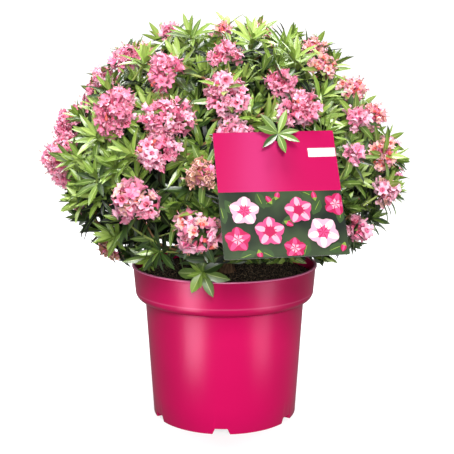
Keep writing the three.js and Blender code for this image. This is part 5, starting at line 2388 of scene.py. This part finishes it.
@dataclass
class Studio:
    """Pale floor, soft lights and the camera at the photograph's viewing angle. In metres."""

    camera_distance: float = 1.061
    camera_height: float = 0.408
    camera_pitch: float = 9.3
    focal_pixels: float = 866.0
    frame_pixels: float = 454.0
    axis_offset_pixels: float = 2.5
    sensor: float = 36.0
    softboxes: tuple[Softbox, ...] = (
        Softbox("key", (0.15, -1.4, 0.95), (0, 0, 0.25), (0.35, 0.35), 21),
        Softbox("fill", (0, -1.4, 0.45), (0, 0, 0.2), (0.4, 0.3), 9),
        Softbox("top", (-0.1, -0.1, 1.7), (0, 0, 0.3), (0.5, 0.5), 23),
        Softbox("back", (0, 1.4, 1.1), (0, 0, 0.3), (0.6, 0.6), 14),
        Softbox("side_left", (-1.0, 0.9, 1.0), (0, 0, 0.3), (0.5, 0.5), 11),
        Softbox("side_right", (1.0, 0.9, 1.0), (0, 0, 0.3), (0.5, 0.5), 11),
    )
    # Name, azimuth and power of each floor strip.
    strips: tuple[tuple[str, float, float], ...] = (("strip_left", -38, 3.2), ("strip_right", 48, 1.4))
    strip_size: Pair = (0.13, 0.6)
    strip_distance: float = 0.56
    strip_height: float = 0.01
    strip_colour: Triple = (0.8, 0.9, 1.0)
    floor_size: float = 60.0
    floor_colour: float = 0.3
    floor_mottle: Grain = Grain(3.0, 2.0)
    floor_roughness: float = 0.8
    floor_change: float = 0.1
    floor_gloss: float = 0.1
    glow_start: float = 0.3
    glow_rise: float = 1.5
    glow_near: float = 0.72
    glow_far: float = 1.05
    front_light: float = 0.27
    side_light: float = 0.18
    back_light: float = 0.65
    ground_light: float = 0.27
    horizon_fade: float = 0.1
    backdrop_radius: float = 28.0

    def build(self) -> None:
        """Sets up floor, world, lights and camera."""
        self._floor()
        self._backdrop()
        self._world()
        for box in self.softboxes:
            lamp = self._lamp(box.name, box.size, box.power)
            lamp.location = box.spot
            aim = Vector(box.aim) - Vector(box.spot)
            lamp.rotation_euler = aim.to_track_quat("-Z", "Y").to_euler()
        for strip in self.strips:
            self._floor_strip(*strip)
        self._camera()

    def _floor(self) -> None:
        """Makes a plain pale floor that the camera sees and the plant doesn't mirror."""
        deselect_all()
        bpy.ops.mesh.primitive_plane_add(size=self.floor_size)
        floor = bpy.context.object
        floor.name = "floor"
        paint = Paint("pale_floor")
        glow = paint.distance() * self.glow_rise - self.glow_start
        material = paint.dress(
            Base_Color=grey(self.floor_colour),
            Roughness=self.floor_roughness + paint.noise(self.floor_mottle) * self.floor_change,
            Specular_IOR_Level=self.floor_gloss,
            Emission_Color=paint.blend(glow, grey(self.glow_near), grey(self.glow_far)),
            Emission_Strength=1.0,
        )
        floor.data.materials.append(material)
        floor.visible_glossy = floor.visible_diffuse = False

    def _backdrop(self) -> None:
        """Makes a white room all round that only the camera sees."""
        deselect_all()
        bpy.ops.mesh.primitive_uv_sphere_add(radius=self.backdrop_radius)
        room = bpy.context.object
        room.name = "backdrop"
        paint = Paint("white_room")
        room.data.materials.append(paint.dress(Emission_Color=grey(1.0), Emission_Strength=1.0))
        room.visible_diffuse = room.visible_glossy = room.visible_shadow = False

    def _world(self) -> None:
        """Makes soft surroundings above the horizon, from front to back, and darker ones below it."""
        sky = Sky("studio")
        stops = [(0.0, grey(self.front_light)), (0.5, grey(self.side_light)), (1.0, grey(self.back_light))]
        around = sky.ramp(sky.along("Y") * 0.5 + 0.5, stops)
        share = sky.along("Z") / self.horizon_fade
        bpy.context.scene.world = sky.dress(Color=sky.blend(share, grey(self.ground_light), around))

    def _floor_strip(self, name: str, azimuth: float, power: float) -> None:
        """Lays a long light on the floor in front, which the pot's wall mirrors as an upright band.

        Args:
            name: Its name.
            azimuth: Where it lies, in degrees from the front.
            power: Its power in watts.
        """
        lamp = self._lamp(name, self.strip_size, power)
        lamp.data.color = self.strip_colour
        spot = Vector(heading(azimuth, 0)) * self.strip_distance
        lamp.location = spot + Vector((0, 0, self.strip_height))
        lamp.rotation_euler = (math.pi, 0, math.radians(azimuth))
        lamp.visible_camera = lamp.visible_diffuse = False
        mirror = bpy.data.collections.new(name)
        mirror.objects.link(bpy.data.objects["pot_shell"])
        lamp.light_linking.receiver_collection = mirror

    @staticmethod
    def _lamp(name: str, size: Pair, power: float) -> Piece:
        """Adds a rectangular area light.

        Args:
            name: Its name.
            size: Its width and height in metres.
            power: Its power in watts.

        Returns:
            The light's object.
        """
        light = bpy.data.lights.new(name, "AREA")
        light.shape = "RECTANGLE"
        light.size, light.size_y = size
        light.energy = power
        lamp = bpy.data.objects.new(name, light)
        bpy.context.scene.collection.objects.link(lamp)
        return lamp

    def _camera(self) -> None:
        """Sets the camera, as fitted to the pot's rim, foot and front edge in the photograph."""
        data = bpy.data.cameras.new("camera")
        data.sensor_width = self.sensor
        data.lens = self.sensor * self.focal_pixels / self.frame_pixels
        data.shift_x = self.axis_offset_pixels / self.frame_pixels
        camera = bpy.data.objects.new("camera", data)
        camera.location = (0, -self.camera_distance, self.camera_height)
        camera.rotation_euler = (math.radians(90 - self.camera_pitch), 0, 0)
        bpy.context.scene.collection.objects.link(camera)
        bpy.context.scene.camera = camera


def write_sizes() -> None:
    """Updates the view layer."""
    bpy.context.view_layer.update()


def main() -> None:
    """Builds the dressed shrub and the studio."""
    logging.basicConfig(level=logging.INFO, format="%(name)s: %(message)s")
    bpy.context.scene.view_settings.view_transform = "Standard"
    card = CardPlace()
    crown = Crown(card)
    pot = NurseryPot()
    pot.build()
    PeatFill(pot).build()
    Limbs(crown).build()
    Foliage(crown).grow()
    CareCard(card, crown).build()
    Studio().build()
    write_sizes()


if __name__ == "__main__":
    main()
